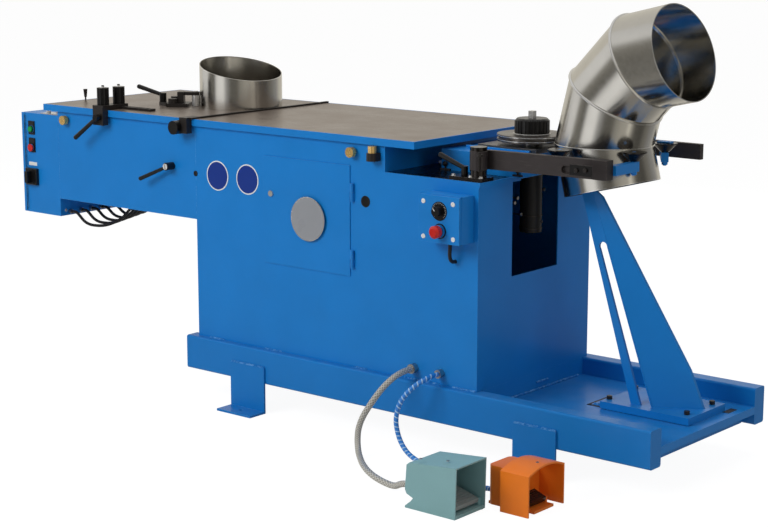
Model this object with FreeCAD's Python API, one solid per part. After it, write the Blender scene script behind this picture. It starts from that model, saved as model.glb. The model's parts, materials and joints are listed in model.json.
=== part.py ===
import FreeCAD, Part
import math
import os

from FreeCAD import Rotation, Vector

# All sizes are millimetres and degrees. Shapes are drawn in a body frame: x = 0 is the left wall of the
# machine body, y = 0 its front wall, z = 0 the floor. They are moved to the anchor hole centre when saved.

# Body and table
BODY_LENGTH = 1241.0
BODY_DEPTH = 627.0
BODY_SHEET = 4.0
TABLE_TOP = 1000.0
TABLE_THICKNESS = 24.0
TABLE_PLATE = 12.0
TABLE_LIP = 6.0
TABLE_LEFT_OVERHANG = 66.0
TABLE_FRONT_OVERHANG = 12.0
TABLE_REAR_OVERHANG = 75.0
TABLE_RIGHT_OVERHANG = 129.0
TABLE_SPLIT_GAP = 1.0
LEDGE_INSET = 10.0
ARM_LENGTH = 734.0
ARM_DEPTH = 332.4
ARM_PASSAGE_SIDE = 80.0
ARM_PASSAGE_RISE = 46.0
RECESS_LENGTH = 376.0
SHELF_DROP = 109.0
SHELF_THICKNESS = 16.0
SHELF_OVERHANG = 4.0
CENTRE_Y = 340.0
SHELF_SLOT_LENGTH = 151.0
SHELF_SLOT_WIDTH = 244.0
WINDOW_WIDTH = 257.0
WINDOW_SETBACK = 160.0
WINDOW_BOTTOM = 569.0

# Access door in the front wall
DOOR_LEFT = 330.0
DOOR_RIGHT = 718.0
DOOR_BOTTOM = 531.0
DOOR_TOP_DROP = 100.0
DOOR_SHEET = 3.0
DOOR_LAP = 10.0
DOOR_GAP = 0.5
HINGE_RADIUS = 6.0
HINGE_PIN_RADIUS = 3.0
HINGE_OFFSET_X = 12.0
HINGE_LENGTH = 60.0
HINGE_INSET = 29.0
HINGE_TAB = 6.0
LOCK_RADIUS = 10.0
LOCK_INSET = 35.6
LOCK_DROP = 127.0
LOCK_SHAFT = 5.0
LOCK_HEAD = 5.0
LOCK_CAM = (6.0, 28.0, 3.0)

# Base frame, feet and deck
RAIL_LEFT = -34.0
RAIL_REACH = 656.0
RAIL_WIDTH = 60.0
RAIL_HEIGHT = 120.0
RAIL_WALL = 5.0
RAIL_CORNER = 8.0
RAIL_UNDERSIDE = 104.0
RAIL_FRONT_PROUD = 28.0
RAIL_REAR_PROUD = 34.0
CROSS_WIDTH = 60.0
CROSS_HEIGHT = 57.0
END_CAP = 4.0
DECK_TOP = 165.0
DECK_SHEET = 4.0
DECK_FLANGE = 25.0
PAD_THICKNESS = 2.0
FOOT_WIDTH = 160.0
FOOT_PLATE = 8.0
FOOT_HEIGHT = 163.0
FOOT_REACH = 79.0
FOOT_LEFT_X = 270.0
FOOT_RIGHT_INSET = 246.0
ANCHOR_REACH = 42.0
ANCHOR_RADIUS = 7.0

# Electric cabinet on the left end
CABINET_WIDTH = 188.0
CABINET_DEPTH = 400.0
CABINET_TOP_DROP = 42.0
CABINET_HEIGHT = 382.5
CABINET_SHEET = 2.0
CABINET_DOOR = 20.0
CABINET_DOOR_GAP = 3.0
BUTTON_X_INSET = 36.0
START_DROP = 103.0
STOP_DROP = 174.0
SWITCH_DROP = 285.0
BUTTON_RADIUS = 11.0
BUTTON_TRAVEL = 4.0
BEZEL_RADIUS = 15.0
BEZEL_DEPTH = 5.0
SWITCH_PLATE = 62.0
SWITCH_PLATE_DEPTH = 8.0
SWITCH_RADIUS = 24.0
SWITCH_DEPTH = 30.0
SWITCH_GRIP = 16.0
SWITCH_DISC = 10.0
BUTTON_CAP = 3.0
KNOB_TAIL = 6.0
DIAL_SKIRT = 3.0
START_HEAD_RADIUS = 10.0
STOP_HEAD_RADIUS = 14.0
CABINET_HINGE_INSET = 50.0
CABINET_HINGE_GAP = 3.0
CABINET_LEAF = (30.0, 16.0)
KNOB_SHAFT = 5.0

# Control box on the front wall, at the right
CONTROL_BOX_WIDTH = 159.0
CONTROL_BOX_HEIGHT = 149.0
CONTROL_BOX_DEPTH = 75.0
CONTROL_BOX_INSET = 18.0
CONTROL_BOX_DROP = 298.0
CONTROL_BOX_WALL = 3.0
DIAL_INSET = 95.0
DIAL_DROP = 197.0
DIAL_SKIRT_RADIUS = 18.0
DIAL_KNOB_RADIUS = 15.0
DIAL_KNOB_DEPTH = 19.0
STOP_INSET = 92.0
STOP_HEAD_DROP = 259.5
STOP_COLLAR_RADIUS = 20.0
STOP_COLLAR = 8.0
MUSHROOM_RADIUS = 20.0
MUSHROOM_EDGE = 16.0
MUSHROOM_DOME = 7.0
MUSHROOM_TRAVEL = 6.0
CONDUIT_INSET = (81.0, 88.0)
CONDUIT_STANDOFF = 38.0
CONDUIT_DIAMETER = 12.0
CONDUIT_DROP = 68.0

# Closing head
CLOSING_INSET = 41.0
ROLL_RADIUS = 113.0
ROLL_THICKNESS = 22.0
GROOVE_HEIGHT = 7.0
GROOVE_DEPTH = 6.0
NUT_RADIUS = 57.0
NUT_HEIGHT = 50.0
NUT_FLUTES = 24
NUT_FLUTE_RADIUS = 2.6
NUT_CHAMFER = 8.0
STUD_RADIUS = 13.0
STUD_HEIGHT = 23.0
SPINDLE_RADIUS = 20.0
SPINDLE_COLLAR = 34.0
HOUSING_LEFT = 274.0
HOUSING_RIGHT_PROUD = 44.0
HOUSING_WIDTH = 350.0
HOUSING_TOP_DROP = 40.0
HOUSING_WALL = 8.0
CARRIAGE_LEFT = 140.0
CARRIAGE_RIGHT = 90.0
CARRIAGE_WIDTH = 210.0
CARRIAGE_THICKNESS = 15.7
CARRIAGE_TRAVEL = 40.0
GIB_WIDTH = 10.0
GIB_HEIGHT = 10.0
MOTOR_RADIUS = 36.0
MOTOR_LENGTH = 190.0
MOTOR_TOP_DROP = 120.0
MOTOR_NECK_RADIUS = 34.0
SPINDLE_GRIP = 55.0
SPINDLE_BORE_DEPTH = 60.0
STUD_FLAT = 0.76
SLOT_MARGIN = 6.0

# Elbow on the closing head
DUCT_RADIUS = 152.5
DUCT_SHEET = 1.2
SEAM_PROUD = 7.5
SEAM_WIDTH = 3.0
ELBOW_STEP = 30.0
ELBOW_LEAN = -5.2
COLLAR_LENGTH = 140.6
SEGMENT_LENGTH = 160.0
MOUTH_LENGTH = 142.8
MOUTH_LEAN = 76.9
MOUTH_CUT = 71.9
ROLL_GAP = 5.0

# Rolls that carry the elbow
CONE_RADIUS = 39.0
CONE_TIP_RADIUS = 14.0
CONE_HEIGHT = 28.0
CONE_RIM = 3.0
CONE_AZIMUTHS = {"left": -99.9, "front": -29.9, "rear": 48.9}
CONE_UNDERLAP = 0.4
CONE_TOP_GAP = 0.3
CONE_BOLT = 6.0
INNER_ROLL_RADIUS = 40.0
INNER_ROLL_HEIGHT = 20.0
INNER_ROLL_GAP = 1.3
INNER_PIN = 10.0

# Swing arms
POST_X_INSET = 31.0
POST_SPREAD_FRONT = 300.0
POST_SPREAD_REAR = 247.0
POST_RADIUS = 20.0
POST_BASE = (148.0, 64.0, 12.0)
POST_BASE_SHIFT = -17.0
ARM_HUB_RADIUS = 28.0
ARM_HUB_BOTTOM_DROP = 74.0
ARM_HEIGHT = 60.0
REAR_ARM_HEIGHT = 50.0
ARM_THICKNESS = 20.0
ARM_SIDE = 24.0
ARM_CAP = 12.0
ARM_TIP_CLEAR = 52.0
ARM_END_BLOCK = (50.0, 36.0)
ARM_RECESS = (78.0, 24.0, 8.0)
ARM_RECESS_PLACE = (20.0, 22.0)
ARM_BLOCK_PROUD = 3.0
ARM_TIP_INSET = 48.0
ARM_ROOT = 8.0
ROLLER_BAR_WIDTH = 24.0
ROLLER_BAR_HEIGHT = 30.0
REAR_BAR_RUN = (-73.0, 113.0)
REAR_ARM_TAIL = 58.0
REAR_PLATE = (48.0, 24.0, 5.0)
BOLT_TAIL = (12.0, 9.0, 1.6)
POST_COLLAR_RADIUS = 26.0
POST_CAP_RADIUS = 27.0

# Levers and knobs: hubs as (x, y) or (x, drop from the table top), grips as runs from the hub
LEVER_HUB_RADIUS = 11.0
LEVER_SHAFT = 6.0
LEVER_PIN_LENGTH = 20.0
LEVER_GRIP = (7.0, 8.5)
POST_LEVER_HEIGHT = 30.0
POST_LEVER_PIN = 22.0
FRONT_HUB = (14.0, 34.0)
FRONT_GRIP = (6.0, 7.5)
FRONT_GRIP_Y = (-24.0, -40.0)
EDGE_HUB = (12.0, 22.0)
EDGE_GRIP_DEPTHS = (12.0, 18.0)
MID_HUB_RADIUS = 13.0
POST_LEVER_OFFSET = -54.0
POST_LEVER_RUN = (-86.0, -12.0)
POST_LEVER_TIP_DROP = 38.0
FRONT_LEVER_X = -118.0
FRONT_LEVER_DROP = 176.0
FRONT_LEVER_RUN = (-125.0, -53.0)
EDGE_LEVER_X = -457.0
EDGE_LEVER_DROP = 25.0
EDGE_LEVER_RUN = (-112.0, -80.0)
MID_LEVER_OFFSET = (-141.0, -57.2)
MID_LEVER_RUN = (-120.0, -9.0)
MID_LEVER_HEIGHTS = (12.0, 45.0, 62.0)
BRACKET_KNOB_X = -52.0
BRACKET_KNOB_DROP = 30.0
BRACKET_KNOB_RADIUS = 24.0
BRACKET_KNOB_DEPTH = 20.0
BRASS_RADIUS = 17.0
BRASS_DEPTH = 16.0
BRASS_NECK = (9.0, 8.0)
BRASS_LEFT_X = -682.0
BRASS_LEFT_DROP = 53.5
BRASS_RIGHT_X = 733.0
BRASS_RIGHT_DROP = 54.2
BRASS_TOP = (828.0, -20.0)
BRASS_TOP_RADIUS = 14.0
BRASS_TOP_HEIGHT = 22.0
BRASS_TOP_GAP = 2.0
SCREW_LUG_RADIUS = 19.0
SCREW_LUG_HEIGHT = 26.0

# Slanted column
COLUMN_PLATE = (53.0, 374.0, -72.0, 155.0, 25.0)
COLUMN_BOLT_X = (64.0, 346.0)
COLUMN_BOLT_Y = (-34.0, 121.0)
COLUMN_BOLT_RADIUS = 6.0
COLUMN_HEAD_RADIUS = 9.0
COLUMN_HEAD_HEIGHT = 12.0
COLUMN_FACE_SETBACK = 37.0
COLUMN_FACE = 10.0
COLUMN_FOOT = (145.0, 224.0)
COLUMN_TOP_WIDTH = 40.0
COLUMN_TOP_DROP = 70.0
COLUMN_CHAMFER_DROP = 122.0
COLUMN_NECK_DROP = 164.0
COLUMN_NECK_WIDTH = 44.0
COLUMN_SLOT_FOOT = (180.0, 220.0)
COLUMN_SLOT_DROP = 320.0
COLUMN_SLOT_TOP = (18.0, 48.0)
GUSSET_THICKNESS = 12.0
GUSSET_LAP = 3.0
GUSSET_FOOT = (354.0, 89.0)
GUSSET_BREAK = (312.0, 73.0, 145.0)
GUSSET_NECK = (27.0, 3.0)
COLUMN_BLOCK = (50.0, 45.0)
COLUMN_BLOCK_INSET = 21.0
COLUMN_NOSE = 29.0
DECK_PAD_MARGIN = 24.0

# Flanging station on the left of the table
GORE_MARGIN = 7.5
GORE_Y = 398.0
GORE_HEIGHT = 141.2
GORE_TILT = 12.9
GORE_TILT_AZIMUTH = 166.0
FLANGE_AZIMUTH = 215.6
FLANGE_OUTER_RADIUS = 16.0
FLANGE_INNER_RADIUS = 14.0
FLANGE_NIP = 0.5
FLANGE_OUTER_HEIGHT = 40.0
FLANGE_INNER_HEIGHT = 28.0
FLANGE_SHAFT = 7.0
FLANGE_TABLE_HOLE = 10.0
FLANGE_BOX = (120.0, 110.0, 88.0)
FLANGE_PLATE = (80.0, 92.0, 12.0)
FLANGE_PLATE_REACH = 48.0
FLANGE_BLOCK = (20.0, 24.0, 34.0)
FLANGE_BRIDGE = (26.0, 13.0, 12.0)
FLANGE_STUDS = ((18.0, -22.0, 17.0, 22.0), (20.0, 24.0, 17.0, 18.0), (-2.0, -32.0, 12.0, 26.0))
FLANGE_LINK_WIDTH = 30.0
FLANGE_MOTOR_RADIUS = 55.0
FLANGE_MOTOR_LENGTH = 130.0
GUIDE_RADIUS = 22.0
GUIDE_HEIGHT = 62.0
GUIDE_PIN = 5.0
GUIDE_POINTS = {"left": (-474.0, -2.0), "right": (-464.0, 66.0)}
GUIDE_FLUTES = 18
GUIDE_FLUTE_RADIUS = 1.4
GUIDE_ARM_TOP = 18.0
BRACKET_X = (-492.0, -438.0)
BRACKET_Y = -38.0
BRACKET_DROP = 54.0
RIGHT_BRACKET_X = (-40.0, -4.0)
SPLIT_STRIP = (12.0, 6.0)
SPLIT_STRIP_PROUD = 10.0
BRACKET_SHAFT_DEPTH = 20.0
BRACKET_TONGUE = 30.0
RIGHT_BRACKET_DROP = 50.0
KNOB_LUG = 14.0
SLOTTED_BAR = (150.0, 28.0, 9.0)
SLOTTED_BAR_INSET = 18.0
BAR_SLOT = (20.0, 135.0, 10.0)
TABLE_PIN = (3.0, 12.0)
TABLE_PIN_GRIP = (5.0, 8.0, 30.0)
TABLE_PIN_INSET = 16.0
TABLE_PIN_Y = 184.0

# Hoses: points by hand, then diameters
GREY_GLAND_X = 990.0
BLUE_GLAND_X = 1099.0
GLAND_RISE = 39.0
GREY_DIAMETER = 20.0
BLUE_DIAMETER = 16.0
GLAND_LENGTH = 20.0
GLAND_WALL = 6.0
CABLE_DIAMETER = 11.0
CABLE_COUNT = 6
CABLE_RISE = 14.5
CABLE_GLAND = (8.5, 14.0)
CABLE_ROW = (45.0, 300.0)
CABLE_ENTRY_X = -470.0
CABLE_ENTRY_Y = (140.0, 290.0)
CABLE_ENTRY_REACH = (24.0, 20.0)
AIR_TUBE_DIAMETER = 6.0

# Foot pedals on the floor
GREY_PEDAL = (1357.0, 1545.0, -502.0, -356.0)
GREY_PEDAL_TOP = (140.0, 155.0)
GREY_PEDAL_WALL = 4.0
GREY_FLOOR = 10.0
GREY_BACK = ((16.0, 0.0), (6.0, -8.0))
GREY_WAIST = ((0.0, 56.0), (6.0, 44.0), (30.0, 34.0), (22.0, 24.0), (0.0, 6.0), (0.0, 0.0))
GREY_CAVITY = ((20.0, 0.0), (16.0, -6.0))
GREY_CAVITY_WAIST = ((12.0, 62.0), (44.0, 40.0), (44.0, 10.0))
ORANGE_PEDAL = (1594.0, 1694.0, -355.0, -172.0)
ORANGE_SIDE = 124.0
ORANGE_CREST = 143.0
ORANGE_WALL = 5.0
ORANGE_BASE = 8.0
ORANGE_REAR_ROUND = 16.0
ORANGE_REAR = 72.0
ORANGE_REAR_HEIGHT = 120.0
ORANGE_REAR_INSET = (38.0, 34.0)
ORANGE_CHEEK = 42.0
ORANGE_LUG = 8.0
ORANGE_TIE = (14.0, 96.0)
BOSS_LENGTH = 11.0
BOSS_WALL = 4.0
AXLE_RADIUS = 3.5
AXLE_LUG = 10.0
PEDAL_LUG = (9.0, 6.0)
SWITCH_LUG = 8.0
TREADLE_PLATE = (3.0, 10.0)
TREADLE_RIB = (4.0, 2.0)
TREADLE_KNUCKLE = (8.0, -4.0, 5.0)
GREY_AXLE_INSET = 27.0
GREY_AXLE_Z = 24.0
GREY_TREADLE = (96.0, 26.0, 9)
ORANGE_AXLE_INSET = 39.0
ORANGE_AXLE_Z = 20.0
ORANGE_TREADLE = (36.0, 14.0, 4)

# Running clearances
SHAFT_GAP = 0.05
SLIDE_GAP = 0.3

# Places worked out from the sizes above
GORE_CENTRE = (-DUCT_RADIUS - GORE_MARGIN, GORE_Y)
NIP_PLACE = (
    GORE_CENTRE[0] + DUCT_RADIUS * math.cos(math.radians(FLANGE_AZIMUTH)),
    GORE_CENTRE[1] + DUCT_RADIUS * math.sin(math.radians(FLANGE_AZIMUTH)),
)
MID_LEVER_HUB = (NIP_PLACE[0] + MID_LEVER_OFFSET[0], NIP_PLACE[1] + MID_LEVER_OFFSET[1])
BODY_BOTTOM = RAIL_UNDERSIDE + RAIL_HEIGHT
BODY_TOP = TABLE_TOP - TABLE_THICKNESS
SHELF_TOP = TABLE_TOP - SHELF_DROP
SHELF_BOTTOM = SHELF_TOP - SHELF_THICKNESS
RECESS_X = BODY_LENGTH - RECESS_LENGTH
ARM_BOTTOM = BODY_TOP - ARM_DEPTH
TABLE_LEFT = -ARM_LENGTH - TABLE_LEFT_OVERHANG
TABLE_RIGHT = RECESS_X + TABLE_RIGHT_OVERHANG
TABLE_FRONT = -TABLE_FRONT_OVERHANG
TABLE_REAR = BODY_DEPTH + TABLE_REAR_OVERHANG
DOOR_TOP = TABLE_TOP - DOOR_TOP_DROP
DOOR_FRONT = -DOOR_GAP - DOOR_SHEET
WINDOW_FRONT = CENTRE_Y - WINDOW_SETBACK
COLUMN_FACE_Y = CENTRE_Y - COLUMN_FACE_SETBACK
RAIL_FRONT = -RAIL_FRONT_PROUD
RAIL_REAR = BODY_DEPTH + RAIL_REAR_PROUD
CLOSING_X = BODY_LENGTH - CLOSING_INSET
ELLIPSE_RADIUS = DUCT_RADIUS / math.cos(math.radians(ELBOW_STEP / 2))
ELBOW_X = CLOSING_X + ROLL_RADIUS + ROLL_GAP + ELLIPSE_RADIUS
RAIL_END = ELBOW_X + RAIL_REACH - (ELBOW_X - BODY_LENGTH)
SEAM_RADIUS = DUCT_RADIUS + SEAM_PROUD
CONE_REACH = SEAM_RADIUS - CONE_UNDERLAP + CONE_RADIUS
CONE_TOP = TABLE_TOP - SEAM_WIDTH / 2 - CONE_TOP_GAP
INNER_X = ELBOW_X - (DUCT_RADIUS - DUCT_SHEET - INNER_ROLL_GAP - INNER_ROLL_RADIUS)
HOUSING_TOP = TABLE_TOP - HOUSING_TOP_DROP
CARRIAGE_BOTTOM = HOUSING_TOP + SLIDE_GAP
CARRIAGE_TOP = CARRIAGE_BOTTOM + CARRIAGE_THICKNESS
ROLL_BOTTOM = TABLE_TOP - ROLL_THICKNESS / 2
ROLL_TOP = TABLE_TOP + ROLL_THICKNESS / 2
POST_X = BODY_LENGTH - POST_X_INSET
POST_FRONT_Y = CENTRE_Y - POST_SPREAD_FRONT
POST_REAR_Y = CENTRE_Y + POST_SPREAD_REAR
ARM_BAR_BOTTOM = TABLE_TOP - ARM_HUB_BOTTOM_DROP
CABINET_RIGHT = -ARM_LENGTH
CABINET_LEFT = CABINET_RIGHT - CABINET_WIDTH
CABINET_TOP = TABLE_TOP - CABINET_TOP_DROP
CABINET_BOTTOM = CABINET_TOP - CABINET_HEIGHT
GLAND_Z = BODY_BOTTOM + GLAND_RISE
CABLE_Z = CABINET_BOTTOM + CABLE_RISE
BRASS_LEFT = (BRASS_LEFT_X, TABLE_TOP - BRASS_LEFT_DROP)
BRASS_RIGHT = (BRASS_RIGHT_X, TABLE_TOP - BRASS_RIGHT_DROP)
POST_LEVER_HUB = (POST_X + POST_LEVER_OFFSET, POST_FRONT_Y)
FRONT_LEVER_HUB = (FRONT_LEVER_X, TABLE_TOP - FRONT_LEVER_DROP)
EDGE_LEVER_HUB = (EDGE_LEVER_X, TABLE_TOP - EDGE_LEVER_DROP)
BRACKET_KNOB_PLACE = (BRACKET_KNOB_X, TABLE_TOP - BRACKET_KNOB_DROP)
BOX_RIGHT = BODY_LENGTH - CONTROL_BOX_INSET
BOX_LEFT = BOX_RIGHT - CONTROL_BOX_WIDTH
BOX_BOTTOM = TABLE_TOP - CONTROL_BOX_DROP
BOX_TOP = BOX_BOTTOM + CONTROL_BOX_HEIGHT
BOX_FRONT = -CONTROL_BOX_DEPTH
DIAL_PLACE = (BODY_LENGTH - DIAL_INSET, TABLE_TOP - DIAL_DROP)
STOP_PLACE = (BODY_LENGTH - STOP_INSET, TABLE_TOP - STOP_HEAD_DROP)
CONDUIT_Z = BOX_BOTTOM - CONDUIT_DROP
GREY_AXLE = (GREY_PEDAL[1] - GREY_AXLE_INSET, GREY_AXLE_Z)
ORANGE_AXLE = (ORANGE_PEDAL[1] - ORANGE_AXLE_INSET, ORANGE_AXLE_Z)
FOOT_RIGHT_X = BODY_LENGTH + FOOT_RIGHT_INSET
ANCHOR_FRONT_Y = RAIL_FRONT - ANCHOR_REACH
ANCHOR_REAR_Y = RAIL_REAR + ANCHOR_REACH
ORIGIN = Vector(
    (FOOT_LEFT_X + FOOT_RIGHT_X) / 2, (ANCHOR_FRONT_Y + ANCHOR_REAR_Y) / 2, 0
)
Z_AXIS = Vector(0, 0, 1)
Y_AXIS = Vector(0, 1, 0)
X_AXIS = Vector(1, 0, 0)


# General shapes


def box(x0, x1, y0, y1, z0, z1):
    return Part.makeBox(x1 - x0, y1 - y0, z1 - z0, Vector(x0, y0, z0))


def rod(x, y, z, radius, length, axis=Z_AXIS):
    return Part.makeCylinder(radius, length, Vector(x, y, z), axis)


def ring(x, y, z, outer, inner, length, axis=Z_AXIS):
    return rod(x, y, z, outer, length, axis).cut(rod(x, y, z, inner, length, axis))


def cone(x, y, z, radius, end_radius, length, axis=Z_AXIS):
    return Part.makeCone(radius, end_radius, length, Vector(x, y, z), axis)


def prism(points, depth):
    wire = Part.makePolygon(points + [points[0]])
    return Part.Face(wire).extrude(depth)


def prism_xz(points, y0, y1):
    return prism([Vector(x, y0, z) for x, z in points], Vector(0, y1 - y0, 0))


def prism_xy(points, z0, z1):
    return prism([Vector(x, y, z0) for x, y in points], Vector(0, 0, z1 - z0))


def prism_yz(points, x0, x1):
    return prism([Vector(x0, y, z) for y, z in points], Vector(x1 - x0, 0, 0))


def fused(*shapes):
    whole = shapes[0]
    for shape in shapes[1:]:
        whole = whole.fuse(shape)
    return whole.removeSplitter()


def ruled(*sections):
    """Solid through rectangles given as (x0, x1, y0, y1, z)."""
    wires = []
    for x0, x1, y0, y1, z in sections:
        corners = [Vector(x0, y0, z), Vector(x1, y0, z), Vector(x1, y1, z), Vector(x0, y1, z)]
        wires.append(Part.makePolygon(corners + [corners[0]]))
    return Part.makeLoft(wires, True, True)


def flat_bar(start, end, width, z0, z1):
    """Bar between two plan points, half its width on each side."""
    run = Vector(end[0] - start[0], end[1] - start[1], 0)
    side = Vector(-run.y, run.x, 0).normalize() * (width / 2)
    a = Vector(start[0], start[1], 0)
    b = a + run
    corners = [a - side, b - side, b + side, a + side]
    return prism_xy([(p.x, p.y) for p in corners], z0, z1)


def between(p, q, z):
    """x on the line from p to q, both (x, z), at height z."""
    return p[0] + (q[0] - p[0]) * (z - p[1]) / (q[1] - p[1])


def handle(root, tip, root_radius, tip_radius):
    """Round tapered grip with a domed end."""
    run = tip - root
    grip = Part.makeCone(root_radius, tip_radius, run.Length, root, run)
    return grip.fuse(Part.makeSphere(tip_radius, tip))


def tube(points, diameter, name):
    """Straight runs joined by tangent arcs, each as large as its two runs allow."""
    corners = [Vector(*p) for p in points]
    edges = []
    radii = []
    start = corners[0]
    for before, corner, after in zip(corners, corners[1:], corners[2:]):
        come = (corner - before).normalize()
        leave = (after - corner).normalize()
        turn = come.getAngle(leave)
        reach = 0.45 * min((corner - before).Length, (after - corner).Length)
        radius = reach / math.tan(turn / 2)
        radii.append(round(radius))
        inward = (leave - come).normalize()
        middle = corner + inward * (radius / math.cos(turn / 2) - radius)
        arc_start = corner - come * reach
        arc_end = corner + leave * reach
        edges.append(Part.LineSegment(start, arc_start).toShape())
        edges.append(Part.Arc(arc_start, middle, arc_end).toShape())
        start = arc_end
    edges.append(Part.LineSegment(start, corners[-1]).toShape())
    path = Part.Wire(edges)
    section = Part.Circle(corners[0], corners[1] - corners[0], diameter / 2)
    solid = path.makePipeShell([Part.Wire(section.toShape())], True, False)
    share = solid.Volume / (math.pi * diameter**2 / 4 * path.Length)
    print(f"{name}: length {path.Length:.0f}, radii {radii}, volume over section {share:.4f}")
    return solid


# Frame, feet and deck


def rail(y):
    height = RAIL_HEIGHT
    outer = box(RAIL_LEFT, RAIL_END, y, y + RAIL_WIDTH, RAIL_UNDERSIDE, RAIL_UNDERSIDE + height)
    long_edges = [e for e in outer.Edges if e.Length > RAIL_END - RAIL_LEFT - 1]
    outer = outer.makeFillet(RAIL_CORNER, long_edges)
    inner = box(
        RAIL_LEFT + END_CAP,
        RAIL_END - END_CAP,
        y + RAIL_WALL,
        y + RAIL_WIDTH - RAIL_WALL,
        RAIL_UNDERSIDE + RAIL_WALL,
        RAIL_UNDERSIDE + height - RAIL_WALL,
    )
    return outer.cut(inner)


def cross_member(x):
    top = DECK_TOP - DECK_SHEET
    y0 = RAIL_FRONT + RAIL_WIDTH
    y1 = RAIL_REAR - RAIL_WIDTH
    outer = box(x - CROSS_WIDTH / 2, x + CROSS_WIDTH / 2, y0, y1, top - CROSS_HEIGHT, top)
    bore = box(
        x - CROSS_WIDTH / 2 + RAIL_WALL,
        x + CROSS_WIDTH / 2 - RAIL_WALL,
        y0,
        y1,
        top - CROSS_HEIGHT + RAIL_WALL,
        top - RAIL_WALL,
    )
    return outer.cut(bore)


def column_bolt_places():
    return [(ELBOW_X + x, CENTRE_Y + y) for x in COLUMN_BOLT_X for y in COLUMN_BOLT_Y]


def base_frame():
    rails = [rail(RAIL_FRONT), rail(RAIL_REAR - RAIL_WIDTH)]
    body_crosses = (FOOT_LEFT_X, BODY_LENGTH - FOOT_LEFT_X)
    crosses = [cross_member(x) for x in body_crosses]
    crosses += [cross_member(ELBOW_X + x) for x in COLUMN_BOLT_X]
    frame = fused(*rails, *crosses)
    top = DECK_TOP - DECK_SHEET
    for x, y in column_bolt_places():
        frame = frame.cut(rod(x, y, top - RAIL_WALL, COLUMN_BOLT_RADIUS + SHAFT_GAP, RAIL_WALL))
    return [frame]


def foot(x, rail_face, outward):
    y_plate = sorted((rail_face, rail_face + outward * FOOT_PLATE))
    y_flange = sorted((rail_face, rail_face + outward * FOOT_REACH))
    x0 = x - FOOT_WIDTH / 2
    x1 = x + FOOT_WIDTH / 2
    plate = box(x0, x1, *y_plate, 0, FOOT_HEIGHT)
    flange = box(x0, x1, *y_flange, 0, FOOT_PLATE)
    hole = rod(x, rail_face + outward * ANCHOR_REACH, 0, ANCHOR_RADIUS, FOOT_PLATE)
    return fused(plate, flange).cut(hole)


def anchor_feet():
    places = [(RAIL_FRONT, -1), (RAIL_REAR, 1)]
    return [foot(x, face, way) for x in (FOOT_LEFT_X, FOOT_RIGHT_X) for face, way in places]


def deck_plate():
    y0 = RAIL_FRONT + RAIL_WIDTH
    y1 = RAIL_REAR - RAIL_WIDTH
    sheet = box(BODY_LENGTH, RAIL_END, y0, y1, DECK_TOP - DECK_SHEET, DECK_TOP)
    flange = box(RAIL_END - DECK_SHEET, RAIL_END, y0, y1, DECK_TOP - DECK_FLANGE, DECK_TOP)
    x0, x1, front, rear, _ = COLUMN_PLATE
    margin = DECK_PAD_MARGIN
    pad_y = (CENTRE_Y + front + margin, CENTRE_Y + rear + 2 * margin)
    pad = box(ELBOW_X + x0 - 2 * margin, ELBOW_X + x1, *pad_y, DECK_TOP, DECK_TOP + PAD_THICKNESS)
    lip = box(BODY_LENGTH - DECK_SHEET, BODY_LENGTH, y0, y1, DECK_TOP - DECK_SHEET, BODY_BOTTOM)
    deck = fused(sheet, flange, pad, lip)
    for x, y in column_bolt_places():
        hole = rod(x, y, DECK_TOP - DECK_SHEET, COLUMN_BOLT_RADIUS + SHAFT_GAP, DECK_SHEET + PAD_THICKNESS)
        deck = deck.cut(hole)
    return [deck]


# Body, arm box and table


def body_shell():
    t = BODY_SHEET
    outer = box(0, BODY_LENGTH, 0, BODY_DEPTH, BODY_BOTTOM, BODY_TOP)
    inner = box(t, BODY_LENGTH - t, t, BODY_DEPTH - t, BODY_BOTTOM + t, BODY_TOP)
    body = outer.cut(inner)
    body = body.cut(box(RECESS_X, BODY_LENGTH, 0, BODY_DEPTH, SHELF_BOTTOM, BODY_TOP))
    body = body.fuse(box(RECESS_X - t, RECESS_X, 0, BODY_DEPTH, SHELF_BOTTOM, BODY_TOP))
    shelf = box(RECESS_X - t, BODY_LENGTH + SHELF_OVERHANG, 0, BODY_DEPTH, SHELF_BOTTOM, SHELF_TOP)
    body = body.fuse(shelf)
    slot_front = CENTRE_Y - SHELF_SLOT_WIDTH / 2
    body = body.cut(
        box(
            BODY_LENGTH - SHELF_SLOT_LENGTH,
            BODY_LENGTH + SHELF_OVERHANG,
            slot_front,
            slot_front + SHELF_SLOT_WIDTH,
            SHELF_BOTTOM,
            SHELF_TOP,
        )
    )
    window = (WINDOW_FRONT, WINDOW_FRONT + WINDOW_WIDTH, WINDOW_BOTTOM, SHELF_BOTTOM)
    body = body.cut(box(BODY_LENGTH - t, BODY_LENGTH, *window))
    body = body.cut(
        box(DOOR_LEFT + DOOR_LAP, DOOR_RIGHT - DOOR_LAP, 0, t, DOOR_BOTTOM + DOOR_LAP, DOOR_TOP - DOOR_LAP)
    )
    side = ARM_PASSAGE_SIDE
    rise = ARM_PASSAGE_RISE
    body = body.cut(box(0, t, side, BODY_DEPTH - side, ARM_BOTTOM + rise, BODY_TOP - rise))
    for x, diameter in ((GREY_GLAND_X, GREY_DIAMETER), (BLUE_GLAND_X, BLUE_DIAMETER)):
        body = body.cut(rod(x, 0, GLAND_Z, diameter / 2 + SHAFT_GAP, t, Y_AXIS))
    for x, z in brass_knob_places():
        if x > 0:
            body = body.cut(rod(x, 0, z, KNOB_SHAFT + SHAFT_GAP, t, Y_AXIS))
    conduit_x = BODY_LENGTH - CONDUIT_INSET[1]
    conduit = rod(conduit_x, 0, CONDUIT_Z, CONDUIT_DIAMETER / 2 + SHAFT_GAP, t, Y_AXIS)
    return [body.cut(conduit).removeSplitter()]


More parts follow.
